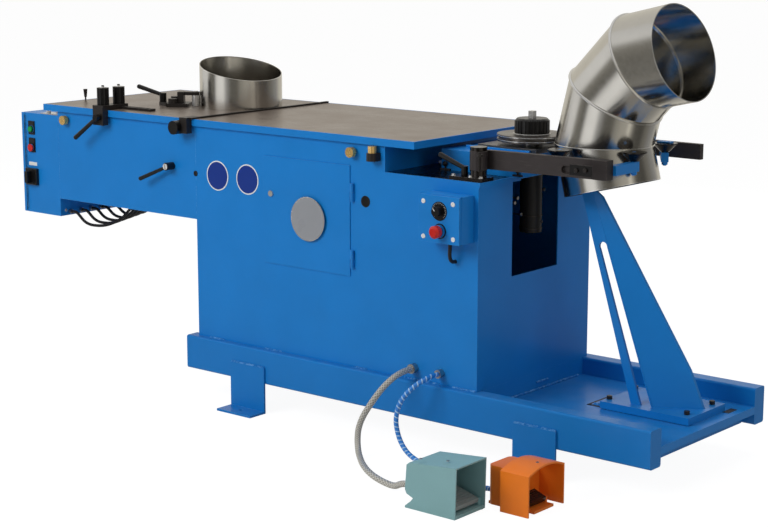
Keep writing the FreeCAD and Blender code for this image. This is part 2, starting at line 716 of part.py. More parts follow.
def arm_box():
    t = BODY_SHEET
    outer = box(-ARM_LENGTH, 0, 0, BODY_DEPTH, ARM_BOTTOM, BODY_TOP)
    inner = box(t - ARM_LENGTH, 0, t, BODY_DEPTH - t, ARM_BOTTOM + t, BODY_TOP)
    shell = outer.cut(inner)
    for x, z in brass_knob_places():
        if x < 0:
            shell = shell.cut(rod(x, 0, z, KNOB_SHAFT + SHAFT_GAP, t, Y_AXIS))
    hub = FRONT_LEVER_HUB
    shell = shell.cut(rod(hub[0], 0, hub[1], LEVER_SHAFT + SHAFT_GAP, t, Y_AXIS))
    before, behind = CABLE_ENTRY_REACH
    entry = box(CABLE_ENTRY_X - before, CABLE_ENTRY_X + behind, *CABLE_ENTRY_Y, ARM_BOTTOM, ARM_BOTTOM + t)
    return [shell.cut(entry)]


def table_trim():
    outer = box(TABLE_LEFT, TABLE_RIGHT, TABLE_FRONT, TABLE_REAR, BODY_TOP, TABLE_TOP)
    pocket = box(
        TABLE_LEFT + TABLE_LIP,
        TABLE_RIGHT - TABLE_LIP,
        TABLE_FRONT + TABLE_LIP,
        TABLE_REAR - TABLE_LIP,
        TABLE_TOP - TABLE_PLATE,
        TABLE_TOP,
    )
    opening = box(
        -ARM_LENGTH + LEDGE_INSET,
        RECESS_X - LEDGE_INSET,
        LEDGE_INSET,
        BODY_DEPTH - LEDGE_INSET,
        BODY_TOP,
        TABLE_TOP - TABLE_PLATE,
    )
    splice = box(-LEDGE_INSET, LEDGE_INSET, 0, BODY_DEPTH, BODY_TOP, TABLE_TOP - TABLE_PLATE)
    return [outer.cut(pocket).cut(opening).fuse(splice).removeSplitter()]


def flange_roll_places():
    """Plan places of the outer and inner flanging rolls, on each side of the gore ring's wall."""
    way = math.radians(FLANGE_AZIMUTH)
    outer = DUCT_RADIUS + FLANGE_NIP + FLANGE_OUTER_RADIUS
    inner = DUCT_RADIUS - DUCT_SHEET - FLANGE_NIP - FLANGE_INNER_RADIUS
    return [
        (GORE_CENTRE[0] + reach * math.cos(way), GORE_CENTRE[1] + reach * math.sin(way))
        for reach in (outer, inner)
    ]


def table_plates():
    gap = TABLE_SPLIT_GAP
    y0 = TABLE_FRONT + TABLE_LIP
    y1 = TABLE_REAR - TABLE_LIP
    z0 = TABLE_TOP - TABLE_PLATE
    left = box(TABLE_LEFT + TABLE_LIP, -gap, y0, y1, z0, TABLE_TOP)
    right = box(gap, TABLE_RIGHT - TABLE_LIP, y0, y1, z0, TABLE_TOP)
    for x, y in flange_roll_places():
        left = left.cut(rod(x, y, z0, FLANGE_TABLE_HOLE, TABLE_PLATE))
    return [left, right]


def door_lock_place():
    return DOOR_LEFT + LOCK_INSET, DOOR_TOP - LOCK_DROP


def hinge_axis():
    return DOOR_RIGHT + HINGE_OFFSET_X, -HINGE_RADIUS - SLIDE_GAP


def hinge_heights():
    """Bottom of each hinge."""
    return [DOOR_BOTTOM + HINGE_INSET, DOOR_TOP - 2 * HINGE_INSET - HINGE_LENGTH]


def access_door():
    """Panel with the upper barrel of each hinge welded to its edge."""
    door = box(DOOR_LEFT, DOOR_RIGHT, DOOR_FRONT, -DOOR_GAP, DOOR_BOTTOM, DOOR_TOP)
    hx, hy = hinge_axis()
    half = HINGE_LENGTH / 2
    for bottom in hinge_heights():
        middle = bottom + half
        tab = box(DOOR_RIGHT - HINGE_TAB, hx, DOOR_FRONT, -DOOR_GAP, middle, middle + half)
        door = door.fuse(tab).fuse(rod(hx, hy, middle, HINGE_RADIUS, half))
        door = door.cut(rod(hx, hy, middle, HINGE_PIN_RADIUS + SHAFT_GAP, half))
    lock_x, lock_z = door_lock_place()
    bore = rod(lock_x, DOOR_FRONT, lock_z, LOCK_SHAFT + SHAFT_GAP, DOOR_SHEET, Y_AXIS)
    return [door.cut(bore).removeSplitter()]


def door_hinges():
    """Lower barrel of each hinge, welded to the wall, with its pin."""
    hx, hy = hinge_axis()
    half = HINGE_LENGTH / 2
    solids = []
    for bottom in hinge_heights():
        barrel = rod(hx, hy, bottom, HINGE_RADIUS, half - SLIDE_GAP)
        tab = box(hx, hx + HINGE_TAB, hy, 0, bottom, bottom + half - SLIDE_GAP)
        pin = rod(hx, hy, bottom, HINGE_PIN_RADIUS, HINGE_LENGTH)
        solids.append(fused(barrel, tab, pin))
    return solids


def door_lock():
    x, z = door_lock_place()
    half_width, reach, thickness = LOCK_CAM
    cam_front = BODY_SHEET + DOOR_GAP
    cam_back = cam_front + thickness
    head_front = DOOR_FRONT - SLIDE_GAP - LOCK_HEAD
    head = rod(x, head_front, z, LOCK_RADIUS, LOCK_HEAD, Y_AXIS)
    shaft = rod(x, head_front, z, LOCK_SHAFT, cam_back - head_front, Y_AXIS)
    cam = box(x - half_width, x + half_width, cam_front, cam_back, z - half_width, z + reach)
    return [fused(head, shaft, cam)]


# Closing head


def obround(x0, x1, y, radius, z0, z1):
    slot = box(x0, x1, y - radius, y + radius, z0, z1)
    return slot.fuse(rod(x0, y, z0, radius, z1 - z0)).fuse(rod(x1, y, z0, radius, z1 - z0))


def head_housing():
    x0 = BODY_LENGTH - HOUSING_LEFT
    x1 = BODY_LENGTH + HOUSING_RIGHT_PROUD
    y0 = CENTRE_Y - HOUSING_WIDTH / 2
    y1 = CENTRE_Y + HOUSING_WIDTH / 2
    t = HOUSING_WALL
    shell = box(x0, x1, y0, y1, SHELF_TOP, HOUSING_TOP)
    shell = shell.cut(box(x0 + t, x1 - t, y0 + t, y1 - t, SHELF_TOP, HOUSING_TOP - t))
    radius = MOTOR_NECK_RADIUS + SLOT_MARGIN
    slot = obround(CLOSING_X - CARRIAGE_TRAVEL, CLOSING_X, CENTRE_Y, radius, HOUSING_TOP - t, HOUSING_TOP)
    shell = shell.cut(slot)
    reach = CARRIAGE_WIDTH / 2 + SLIDE_GAP
    for side in (-1, 1):
        y_edges = sorted((CENTRE_Y + side * reach, CENTRE_Y + side * (reach + GIB_WIDTH)))
        left = CLOSING_X - CARRIAGE_LEFT - CARRIAGE_TRAVEL
        shell = shell.fuse(box(left, x1 - 2 * t, *y_edges, HOUSING_TOP, HOUSING_TOP + GIB_HEIGHT))
    return [shell.removeSplitter()]


def head_carriage():
    half = CARRIAGE_WIDTH / 2
    plate = box(
        CLOSING_X - CARRIAGE_LEFT,
        CLOSING_X + CARRIAGE_RIGHT,
        CENTRE_Y - half,
        CENTRE_Y + half,
        CARRIAGE_BOTTOM,
        CARRIAGE_TOP,
    )
    bore = rod(CLOSING_X, CENTRE_Y, CARRIAGE_BOTTOM, SPINDLE_RADIUS + SHAFT_GAP, CARRIAGE_THICKNESS)
    return [plate.cut(bore)]


def closing_gearmotor():
    top = TABLE_TOP - MOTOR_TOP_DROP
    motor = rod(CLOSING_X, CENTRE_Y, top - MOTOR_LENGTH, MOTOR_RADIUS, MOTOR_LENGTH)
    neck = rod(CLOSING_X, CENTRE_Y, top, MOTOR_NECK_RADIUS, CARRIAGE_BOTTOM - top)
    bore_bottom = CARRIAGE_BOTTOM - SPINDLE_BORE_DEPTH
    bore = rod(CLOSING_X, CENTRE_Y, bore_bottom, SPINDLE_RADIUS + SHAFT_GAP, SPINDLE_BORE_DEPTH)
    return [fused(motor, neck).cut(bore)]


def closing_spindle():
    bottom = CARRIAGE_BOTTOM - SPINDLE_GRIP
    shaft = rod(CLOSING_X, CENTRE_Y, bottom, SPINDLE_RADIUS, ROLL_TOP - bottom)
    collar_bottom = CARRIAGE_TOP + SLIDE_GAP
    collar = rod(CLOSING_X, CENTRE_Y, collar_bottom, SPINDLE_COLLAR, ROLL_BOTTOM - collar_bottom)
    nut_top = ROLL_TOP + NUT_HEIGHT
    stud = rod(CLOSING_X, CENTRE_Y, ROLL_TOP, STUD_RADIUS, nut_top + STUD_HEIGHT - ROLL_TOP)
    flat = STUD_RADIUS * STUD_FLAT
    square = box(
        CLOSING_X - flat, CLOSING_X + flat, CENTRE_Y - flat, CENTRE_Y + flat, nut_top, nut_top + STUD_HEIGHT
    )
    head = rod(CLOSING_X, CENTRE_Y, nut_top, STUD_RADIUS, STUD_HEIGHT).common(square)
    stud = stud.cut(rod(CLOSING_X, CENTRE_Y, nut_top, STUD_RADIUS, STUD_HEIGHT)).fuse(head)
    return [fused(shaft, collar, stud)]


def closing_roll():
    disc = rod(CLOSING_X, CENTRE_Y, ROLL_BOTTOM, ROLL_RADIUS, ROLL_THICKNESS)
    groove_bottom = TABLE_TOP - GROOVE_HEIGHT / 2
    groove = ring(CLOSING_X, CENTRE_Y, groove_bottom, ROLL_RADIUS, ROLL_RADIUS - GROOVE_DEPTH, GROOVE_HEIGHT)
    bore = rod(CLOSING_X, CENTRE_Y, ROLL_BOTTOM, SPINDLE_RADIUS + SHAFT_GAP, ROLL_THICKNESS)
    return [disc.cut(groove).cut(bore)]


def closing_nut():
    straight = NUT_HEIGHT - NUT_CHAMFER
    nut = rod(CLOSING_X, CENTRE_Y, ROLL_TOP, NUT_RADIUS, straight)
    tip_radius = NUT_RADIUS - NUT_CHAMFER
    nut = nut.fuse(cone(CLOSING_X, CENTRE_Y, ROLL_TOP + straight, NUT_RADIUS, tip_radius, NUT_CHAMFER))
    for k in range(NUT_FLUTES):
        turn = 2 * math.pi * k / NUT_FLUTES
        x = CLOSING_X + NUT_RADIUS * math.cos(turn)
        y = CENTRE_Y + NUT_RADIUS * math.sin(turn)
        nut = nut.cut(rod(x, y, ROLL_TOP, NUT_FLUTE_RADIUS, NUT_HEIGHT))
    nut = nut.cut(rod(CLOSING_X, CENTRE_Y, ROLL_TOP, STUD_RADIUS + SHAFT_GAP, NUT_HEIGHT))
    return [nut]


# Elbow, inner roll and column


def half_space(point, tilt):
    """Everything on the far side of a plane whose normal leans by tilt in the XZ plane."""
    size = 2000.0
    block = Part.makeBox(size, size, size, Vector(-size / 2, -size / 2, 0))
    block.rotate(Vector(), Y_AXIS, tilt)
    block.translate(point)
    return block


def lean(angle):
    return Vector(math.sin(math.radians(angle)), 0, math.cos(math.radians(angle)))


def seam_planes():
    """Centre and tilt of each seam, from the lowest."""
    half = ELBOW_STEP / 2
    first = Vector()
    second = first + lean(half) * SEGMENT_LENGTH
    third = second + lean(3 * half) * SEGMENT_LENGTH
    return [(first, 0), (second, ELBOW_STEP), (third, 2 * ELBOW_STEP)]


def elbow_axes():
    """Start point, way and length of each gore's axis, from the collar to the mouth."""
    half = ELBOW_STEP / 2
    first, second, third = (centre for centre, _ in seam_planes())
    collar_way = lean(-half)
    return [
        (first - collar_way * COLLAR_LENGTH, collar_way, COLLAR_LENGTH),
        (first, lean(half), SEGMENT_LENGTH),
        (second, lean(3 * half), SEGMENT_LENGTH),
        (third, lean(MOUTH_LEAN), MOUTH_LENGTH),
    ]


def gore_cylinder(k, radius, extra):
    """Cylinder along gore k, longer by extra at both ends."""
    start, way, length = elbow_axes()[k]
    return Part.makeCylinder(radius, length + 2 * extra, start - way * extra, way)


def elbow_gore(k):
    """One gore between its seam planes, with its half of each bead."""
    seams = seam_planes()
    gore = gore_cylinder(k, DUCT_RADIUS, DUCT_RADIUS)
    if k == 0:
        gore = gore_cylinder(k, DUCT_RADIUS, 0)
        start, way, length = elbow_axes()[k]
        gore = gore.fuse(Part.makeCylinder(DUCT_RADIUS, DUCT_RADIUS, start + way * length, way))
    else:
        centre, tilt = seams[k - 1]
        gore = gore.common(half_space(centre, tilt))
        bead = Part.makeCylinder(SEAM_RADIUS, SEAM_WIDTH / 2, centre, lean(tilt))
        gore = gore.fuse(bead)
    if k < len(seams):
        centre, tilt = seams[k]
        gore = gore.cut(half_space(centre, tilt))
        gore = gore.fuse(Part.makeCylinder(SEAM_RADIUS, SEAM_WIDTH / 2, centre, -lean(tilt)))
    else:
        start, way, length = elbow_axes()[k]
        gore = gore.cut(half_space(start + way * length, MOUTH_CUT))
    return gore


def elbow_bore():
    """The duct's inside as one solid, past both ends."""
    inside = DUCT_RADIUS - DUCT_SHEET
    bore = None
    for k in range(len(elbow_axes())):
        piece = gore_cylinder(k, inside, DUCT_RADIUS)
        if k > 0:
            centre, tilt = seam_planes()[k - 1]
            piece = piece.common(half_space(centre, tilt))
        if k < len(seam_planes()):
            centre, tilt = seam_planes()[k]
            piece = piece.cut(half_space(centre, tilt))
        bore = piece if bore is None else bore.fuse(piece)
    return bore


def elbow_duct():
    bore = elbow_bore()
    gores = []
    for k in range(len(elbow_axes())):
        gore = elbow_gore(k).cut(bore).removeSplitter()
        gore.rotate(Vector(), Z_AXIS, ELBOW_LEAN)
        gore.translate(Vector(ELBOW_X, CENTRE_Y, TABLE_TOP))
        gores.append(gore)
    return gores


def inner_roll():
    bottom = TABLE_TOP - INNER_ROLL_HEIGHT / 2
    return [ring(INNER_X, CENTRE_Y, bottom, INNER_ROLL_RADIUS, INNER_PIN + SHAFT_GAP, INNER_ROLL_HEIGHT)]


def gusset_section(x0, x1, back, z):
    """Outline of the slanted side plate at one height, from its lap on the face to its rear edge."""
    y = COLUMN_FACE_Y
    corners = [(x0 - GUSSET_LAP, y), (x1, y + back), (x1, y + back + GUSSET_THICKNESS)]
    corners += [(x0 - GUSSET_LAP, y + COLUMN_FACE)]
    points = [Vector(px, py, z) for px, py in corners]
    return Part.makePolygon(points + [points[0]])


def column_frame():
    x0, x1, front, rear, thickness = COLUMN_PLATE
    foot_z = DECK_TOP + PAD_THICKNESS
    top = TABLE_TOP - COLUMN_TOP_DROP
    chamfer = TABLE_TOP - COLUMN_CHAMFER_DROP
    neck = TABLE_TOP - COLUMN_NECK_DROP
    plate_top = foot_z + thickness - PAD_THICKNESS
    base = box(ELBOW_X + x0, ELBOW_X + x1, CENTRE_Y + front, CENTRE_Y + rear, foot_z, plate_top)
    for x, y in column_bolt_places():
        base = base.cut(rod(x, y, foot_z, COLUMN_BOLT_RADIUS + SHAFT_GAP, thickness))
    left_foot = (ELBOW_X + COLUMN_FOOT[0], plate_top)
    left_top = (INNER_X + COLUMN_NOSE, top)
    right_foot = (ELBOW_X + COLUMN_FOOT[1], plate_top)
    right_top = left_top[0] + COLUMN_TOP_WIDTH
    neck_x = between(left_foot, left_top, neck) + COLUMN_NECK_WIDTH
    outline = [left_foot, right_foot, (neck_x, neck), (right_top, chamfer), (right_top, top), left_top]
    face = prism_xz(outline, COLUMN_FACE_Y, COLUMN_FACE_Y + COLUMN_FACE)
    slot_z = TABLE_TOP - COLUMN_SLOT_DROP
    slot_left = between(left_foot, left_top, slot_z) + COLUMN_SLOT_TOP[0]
    slot_right = between(left_foot, left_top, slot_z) + COLUMN_SLOT_TOP[1]
    slot = [
        (ELBOW_X + COLUMN_SLOT_FOOT[0], plate_top),
        (ELBOW_X + COLUMN_SLOT_FOOT[1], plate_top),
        (slot_right, slot_z),
        (slot_left, slot_z),
    ]
    face = face.cut(prism_xz(slot, COLUMN_FACE_Y, COLUMN_FACE_Y + COLUMN_FACE))
    slot_radius = (slot_right - slot_left) / 2
    round_top = rod(slot_left + slot_radius, COLUMN_FACE_Y, slot_z, slot_radius, COLUMN_FACE, Y_AXIS)
    face = face.cut(round_top)
    break_x, break_back, break_rise = GUSSET_BREAK
    break_z = DECK_TOP + break_rise
    face_break = between(right_foot, (neck_x, neck), break_z)
    low = gusset_section(right_foot[0], ELBOW_X + GUSSET_FOOT[0], GUSSET_FOOT[1], plate_top)
    middle = gusset_section(face_break, ELBOW_X + break_x, break_back, break_z)
    high = gusset_section(neck_x, neck_x + GUSSET_NECK[0], GUSSET_NECK[1], neck)
    tip = gusset_section(right_top, right_top + GUSSET_LAP, 0, chamfer)
    gusset = Part.makeLoft([low, middle], True, True)
    for pair in ((middle, high), (high, tip)):
        gusset = gusset.fuse(Part.makeLoft(list(pair), True, True))
    depth, height = COLUMN_BLOCK
    block_left = INNER_X - COLUMN_BLOCK_INSET
    block = box(block_left, right_top, COLUMN_FACE_Y, CENTRE_Y + depth / 2, top, top + height)
    roll_bottom = TABLE_TOP - INNER_ROLL_HEIGHT / 2
    cap_z = roll_bottom + INNER_ROLL_HEIGHT + SLIDE_GAP
    shoulder = rod(INNER_X, CENTRE_Y, top + height, 1.5 * INNER_PIN, roll_bottom - SLIDE_GAP - top - height)
    pin = rod(INNER_X, CENTRE_Y, top + height, INNER_PIN, cap_z - top - height)
    cap = rod(INNER_X, CENTRE_Y, cap_z, 1.4 * INNER_PIN, 4)
    return [fused(base, face, gusset, block, shoulder, pin, cap)]


def column_bolts():
    top = DECK_TOP + COLUMN_PLATE[4]
    bottom = DECK_TOP - DECK_SHEET - RAIL_WALL - 8
    bolts = []
    for x, y in column_bolt_places():
        shank = rod(x, y, bottom, COLUMN_BOLT_RADIUS, top - bottom)
        head = rod(x, y, top, COLUMN_HEAD_RADIUS, COLUMN_HEAD_HEIGHT)
        bolts.append(shank.fuse(head).removeSplitter())
    return bolts


# Swing arms and cone rollers


def cone_place(side):
    way = math.radians(CONE_AZIMUTHS[side])
    return ELBOW_X + CONE_REACH * math.cos(way), CENTRE_Y + CONE_REACH * math.sin(way)


def cone_roller(side):
    x, y = cone_place(side)
    bottom = CONE_TOP - CONE_HEIGHT
    taper = CONE_HEIGHT - CONE_RIM
    body = cone(x, y, bottom, CONE_TIP_RADIUS, CONE_RADIUS, taper)
    body = body.fuse(rod(x, y, bottom + taper, CONE_RADIUS, CONE_RIM)).removeSplitter()
    return [body.cut(rod(x, y, bottom, CONE_BOLT + SHAFT_GAP, CONE_HEIGHT))]


def roller_bar_heights():
    top = CONE_TOP - CONE_HEIGHT - 2
    return top - ROLLER_BAR_HEIGHT, top


def roller_bolt(x, y, top):
    z0, z1 = roller_bar_heights()
    tail, nut_height, spread = BOLT_TAIL
    washer = rod(x, y, z1, spread * CONE_BOLT, 2 - SHAFT_GAP)
    shank = rod(x, y, z0 - tail, CONE_BOLT, top - z0 + tail)
    nut = rod(x, y, z0 - nut_height, spread * CONE_BOLT, nut_height)
    return fused(shank, washer, nut)


def arm_posts():
    posts = []
    length, width, plate = POST_BASE
    x0 = POST_X + POST_BASE_SHIFT - length / 2
    for y in (POST_FRONT_Y, POST_REAR_Y):
        base_top = SHELF_TOP + plate
        x1 = min(x0 + length, BODY_LENGTH + SHELF_OVERHANG)
        base = box(x0, x1, y - width / 2, y + width / 2, SHELF_TOP, base_top)
        hub_bottom = ARM_BAR_BOTTOM + (0 if y == POST_FRONT_Y else ARM_HEIGHT - REAR_ARM_HEIGHT)
        hub_top = ARM_BAR_BOTTOM + ARM_HEIGHT
        collar = rod(POST_X, y, base_top, POST_COLLAR_RADIUS, hub_bottom - SLIDE_GAP - base_top)
        post = rod(POST_X, y, base_top, POST_RADIUS, hub_top + SLIDE_GAP + ARM_CAP - base_top)
        cap = rod(POST_X, y, hub_top + SLIDE_GAP, POST_CAP_RADIUS, ARM_CAP)
        posts.append(fused(base, collar, post, cap))
    lever_x, lever_y = POST_LEVER_HUB
    pin = rod(lever_x, lever_y, SHELF_TOP + plate, LEVER_SHAFT, POST_LEVER_PIN)
    posts[0] = posts[0].fuse(pin).removeSplitter()
    return posts


def front_arm_line():
    """Front face of the front arm in plan, from its hub to its tip."""
    tip_x = cone_place("front")[0] - ARM_TIP_INSET
    return (POST_X + ARM_ROOT, POST_FRONT_Y + ARM_SIDE), (tip_x, CENTRE_Y - CONE_REACH - ARM_TIP_CLEAR)


def front_arm():
    z0 = ARM_BAR_BOTTOM
    z1 = z0 + ARM_HEIGHT
    hub = rod(POST_X, POST_FRONT_Y, z0, ARM_HUB_RADIUS, ARM_HEIGHT)
    (xa, ya), (xb, yb) = front_arm_line()
    t = ARM_THICKNESS
    bar = prism_xy([(xa, ya), (xb, yb), (xb, yb + t), (xa, ya + t)], z0, z1)
    length, depth = ARM_END_BLOCK
    block_face = yb - ARM_BLOCK_PROUD
    block = box(xb, xb + length, block_face, block_face + depth, z0, z1)
    slot_length, slot_height, slot_depth = ARM_RECESS
    slot_inset, slot_rise = ARM_RECESS_PLACE
    middle = z0 + slot_rise
    slot_x = xb - slot_inset - slot_length
    slot_front = yb - ARM_THICKNESS
    slot_back = block_face + slot_depth
    radius = slot_height / 2
    recess = box(slot_x, slot_x + slot_length, slot_front, slot_back, middle - radius, middle + radius)
    for x in (slot_x, slot_x + slot_length):
        recess = recess.fuse(rod(x, slot_front, middle, radius, slot_back - slot_front, Y_AXIS))
    arm = fused(hub, bar, block).cut(recess)
    return [arm.cut(rod(POST_X, POST_FRONT_Y, z0, POST_RADIUS + SHAFT_GAP, ARM_HEIGHT))]


def front_roller_bars():
    z0, z1 = roller_bar_heights()
    (xa, ya), (xb, yb) = front_arm_line()
    half = ROLLER_BAR_WIDTH / 2
    front_x, front_y = cone_place("front")
    block_back = yb - ARM_BLOCK_PROUD + ARM_END_BLOCK[1]
    long_bar = box(front_x - half, front_x + half, block_back, front_y + half, z0, z1)
    left_x, left_y = cone_place("left")
    arm_back = ya + (yb - ya) * (left_x - xa) / (xb - xa) + ARM_THICKNESS
    short_bar = box(left_x - half, left_x + half, arm_back - ARM_BLOCK_PROUD, left_y + half, z0, z1)
    reach = ROLLER_BAR_WIDTH
    drift = reach * (yb - ya) / (xb - xa)
    mating = prism_xy(
        [
            (left_x - reach, arm_back - drift - ARM_THICKNESS),
            (left_x + reach, arm_back + drift - ARM_THICKNESS),
            (left_x + reach, arm_back + drift),
            (left_x - reach, arm_back - drift),
        ],
        z0,
        z1,
    )
    short_bar = short_bar.cut(mating)
    return [
        fused(long_bar, roller_bolt(front_x, front_y, CONE_TOP)),
        fused(short_bar, roller_bolt(left_x, left_y, CONE_TOP)),
    ]


def rear_arm():
    z1 = ARM_BAR_BOTTOM + ARM_HEIGHT
    z0 = z1 - REAR_ARM_HEIGHT
    y0 = POST_REAR_Y + ARM_SIDE - 1
    hub = rod(POST_X, POST_REAR_Y, z0, ARM_HUB_RADIUS, REAR_ARM_HEIGHT)
    end = cone_place("rear")[0] + REAR_ARM_TAIL
    bar = box(POST_X + ARM_ROOT, end, y0, y0 + ARM_THICKNESS, z0, z1)
    bore = rod(POST_X, POST_REAR_Y, z0, POST_RADIUS + SHAFT_GAP, REAR_ARM_HEIGHT)
    return [fused(hub, bar).cut(bore)]


def rear_roller_bar():
    z0, z1 = roller_bar_heights()
    x, y = cone_place("rear")
    run = Vector(REAR_BAR_RUN[0], REAR_BAR_RUN[1], 0)
    way = Vector(run).normalize()
    face_y = POST_REAR_Y + ARM_SIDE - 1
    reach = (face_y - y) / way.y + ROLLER_BAR_WIDTH
    half = ROLLER_BAR_WIDTH / 2
    start = (x - half * way.x, y - half * way.y)
    end = (x + reach * way.x, y + reach * way.y)
    bar = flat_bar(start, end, ROLLER_BAR_WIDTH, z0, z1)
    bar = bar.cut(box(end[0] - reach, end[0] + reach, face_y, face_y + reach, z0, z1))
    plate_bottom = CONE_TOP + SLIDE_GAP
    length, width, thickness = REAR_PLATE
    half_length = length / 2
    plate = box(
        x - half_length, x + half_length, y - width / 2, y + width / 2, plate_bottom, plate_bottom + thickness
    )
    return [fused(bar, roller_bolt(x, y, plate_bottom), plate)]


# Levers and knobs


def post_lever():
    x, y = POST_LEVER_HUB
    z0 = SHELF_TOP + POST_BASE[2] + SLIDE_GAP
    hub = rod(x, y, z0, LEVER_HUB_RADIUS, POST_LEVER_HEIGHT)
    run_x, run_y = POST_LEVER_RUN
    tip = Vector(x + run_x, y + run_y, TABLE_TOP - POST_LEVER_TIP_DROP)
    grip = handle(Vector(x, y, z0 + POST_LEVER_PIN), tip, *LEVER_GRIP)
    bore = rod(x, y, z0, LEVER_SHAFT + SHAFT_GAP, POST_LEVER_PIN)
    return [fused(hub, grip).cut(bore)]


def front_lever():
    x, z = FRONT_LEVER_HUB
    radius, standoff = FRONT_HUB
    root_y, tip_y = FRONT_GRIP_Y
    hub = rod(x, -standoff, z, radius, standoff - SLIDE_GAP, Y_AXIS)
    shaft = rod(x, -standoff / 3, z, LEVER_SHAFT, standoff / 3 + BODY_SHEET + LEVER_SHAFT, Y_AXIS)
    tip = Vector(x + FRONT_LEVER_RUN[0], tip_y, z + FRONT_LEVER_RUN[1])
    grip = handle(Vector(x, root_y, z), tip, *FRONT_GRIP)
    return [fused(hub, shaft, grip)]


def edge_lever():
    x, z = EDGE_LEVER_HUB
    face = BRACKET_Y - SLIDE_GAP
    radius, length = EDGE_HUB
    root, tip = EDGE_GRIP_DEPTHS
    hub = rod(x, face - length, z, radius, length, Y_AXIS)
    grip_tip = Vector(x + EDGE_LEVER_RUN[0], face - tip, z + EDGE_LEVER_RUN[1])
    grip = handle(Vector(x, face - root, z), grip_tip, *LEVER_GRIP)
    shaft = rod(x, face - radius / 3, z, LEVER_SHAFT, radius / 3 + SLIDE_GAP + tip, Y_AXIS)
    return [fused(hub, grip, shaft)]


def mid_lever():
    x, y = MID_LEVER_HUB
    low, high, tip_height = MID_LEVER_HEIGHTS
    z0 = TABLE_TOP + low + SLIDE_GAP
    hub = rod(x, y, z0, MID_HUB_RADIUS, high - low)
    tip = Vector(x + MID_LEVER_RUN[0], y + MID_LEVER_RUN[1], TABLE_TOP + tip_height)
    grip = handle(Vector(x, y, TABLE_TOP + high - LEVER_GRIP[0] - 1), tip, *LEVER_GRIP)
    bore = rod(x, y, z0, LEVER_SHAFT + SHAFT_GAP, LEVER_PIN_LENGTH)
    return [fused(hub, grip).cut(bore)]


def brass_knob_places():
    return [BRASS_LEFT, BRASS_RIGHT]


def brass_knob(place):
    x, z = place
    neck_radius, standoff = BRASS_NECK
    knob = rod(x, -standoff - BRASS_DEPTH, z, BRASS_RADIUS, BRASS_DEPTH, Y_AXIS)
    neck = rod(x, -standoff, z, neck_radius, standoff - SLIDE_GAP, Y_AXIS)
    shaft = rod(x, -standoff, z, KNOB_SHAFT, 2 * standoff + BODY_SHEET, Y_AXIS)
    return [fused(knob, neck, shaft)]


def screw_lug_top():
    return BODY_TOP - BRASS_TOP_GAP - BRASS_TOP_HEIGHT - SLIDE_GAP


def brass_knob_top():
    x, y = BRASS_TOP
    bottom = screw_lug_top() + SLIDE_GAP
    knob = rod(x, y, bottom, BRASS_TOP_RADIUS, BRASS_TOP_HEIGHT)
    return [fused(knob, rod(x, y, bottom - BRASS_TOP_HEIGHT, KNOB_SHAFT, BRASS_TOP_HEIGHT))]


def bracket_knob():
    x, z = BRACKET_KNOB_PLACE
    face = BRACKET_Y - SLIDE_GAP
    depth = BRACKET_KNOB_DEPTH
    knob = rod(x, face - depth, z, BRACKET_KNOB_RADIUS, depth, Y_AXIS)
    return [fused(knob, rod(x, face - depth, z, LEVER_SHAFT, 2 * depth - 2, Y_AXIS))]


# Flanging station


def gore_ring():
    x, y = GORE_CENTRE
    tall = ring(x, y, TABLE_TOP, DUCT_RADIUS, DUCT_RADIUS - DUCT_SHEET, 2 * GORE_HEIGHT)
    size = 1000.0
    above = Part.makeBox(size, size, size, Vector(-size / 2, -size / 2, 0))
    above.rotate(Vector(), Y_AXIS, -GORE_TILT)
    above.rotate(Vector(), Z_AXIS, GORE_TILT_AZIMUTH)
    above.translate(Vector(x, y, TABLE_TOP + GORE_HEIGHT))
    return [tall.cut(above)]


def flange_gearmotor():
    outer, inner = flange_roll_places()
    cx = (outer[0] + inner[0]) / 2
    cy = (outer[1] + inner[1]) / 2
    width, depth, height = FLANGE_BOX
    top = TABLE_TOP - TABLE_PLATE
    case = box(cx - width / 2, cx + width / 2, cy - depth / 2, cy + depth / 2, top - height, top)
    motor = rod(cx, cy, top - height - FLANGE_MOTOR_LENGTH, FLANGE_MOTOR_RADIUS, FLANGE_MOTOR_LENGTH)
    whole = fused(case, motor)
    bore_depth = 50.0
    for x, y in (outer, inner):
        whole = whole.cut(rod(x, y, top - bore_depth, FLANGE_SHAFT + SHAFT_GAP, bore_depth))
    return [whole]


def flange_roll(place, radius, height, tail):
    x, y = place
    bottom = TABLE_TOP - TABLE_PLATE - 45
    shaft = rod(x, y, bottom, FLANGE_SHAFT, TABLE_TOP + 1 + height + tail - bottom)
    return [fused(shaft, rod(x, y, TABLE_TOP + 1, radius, height))]


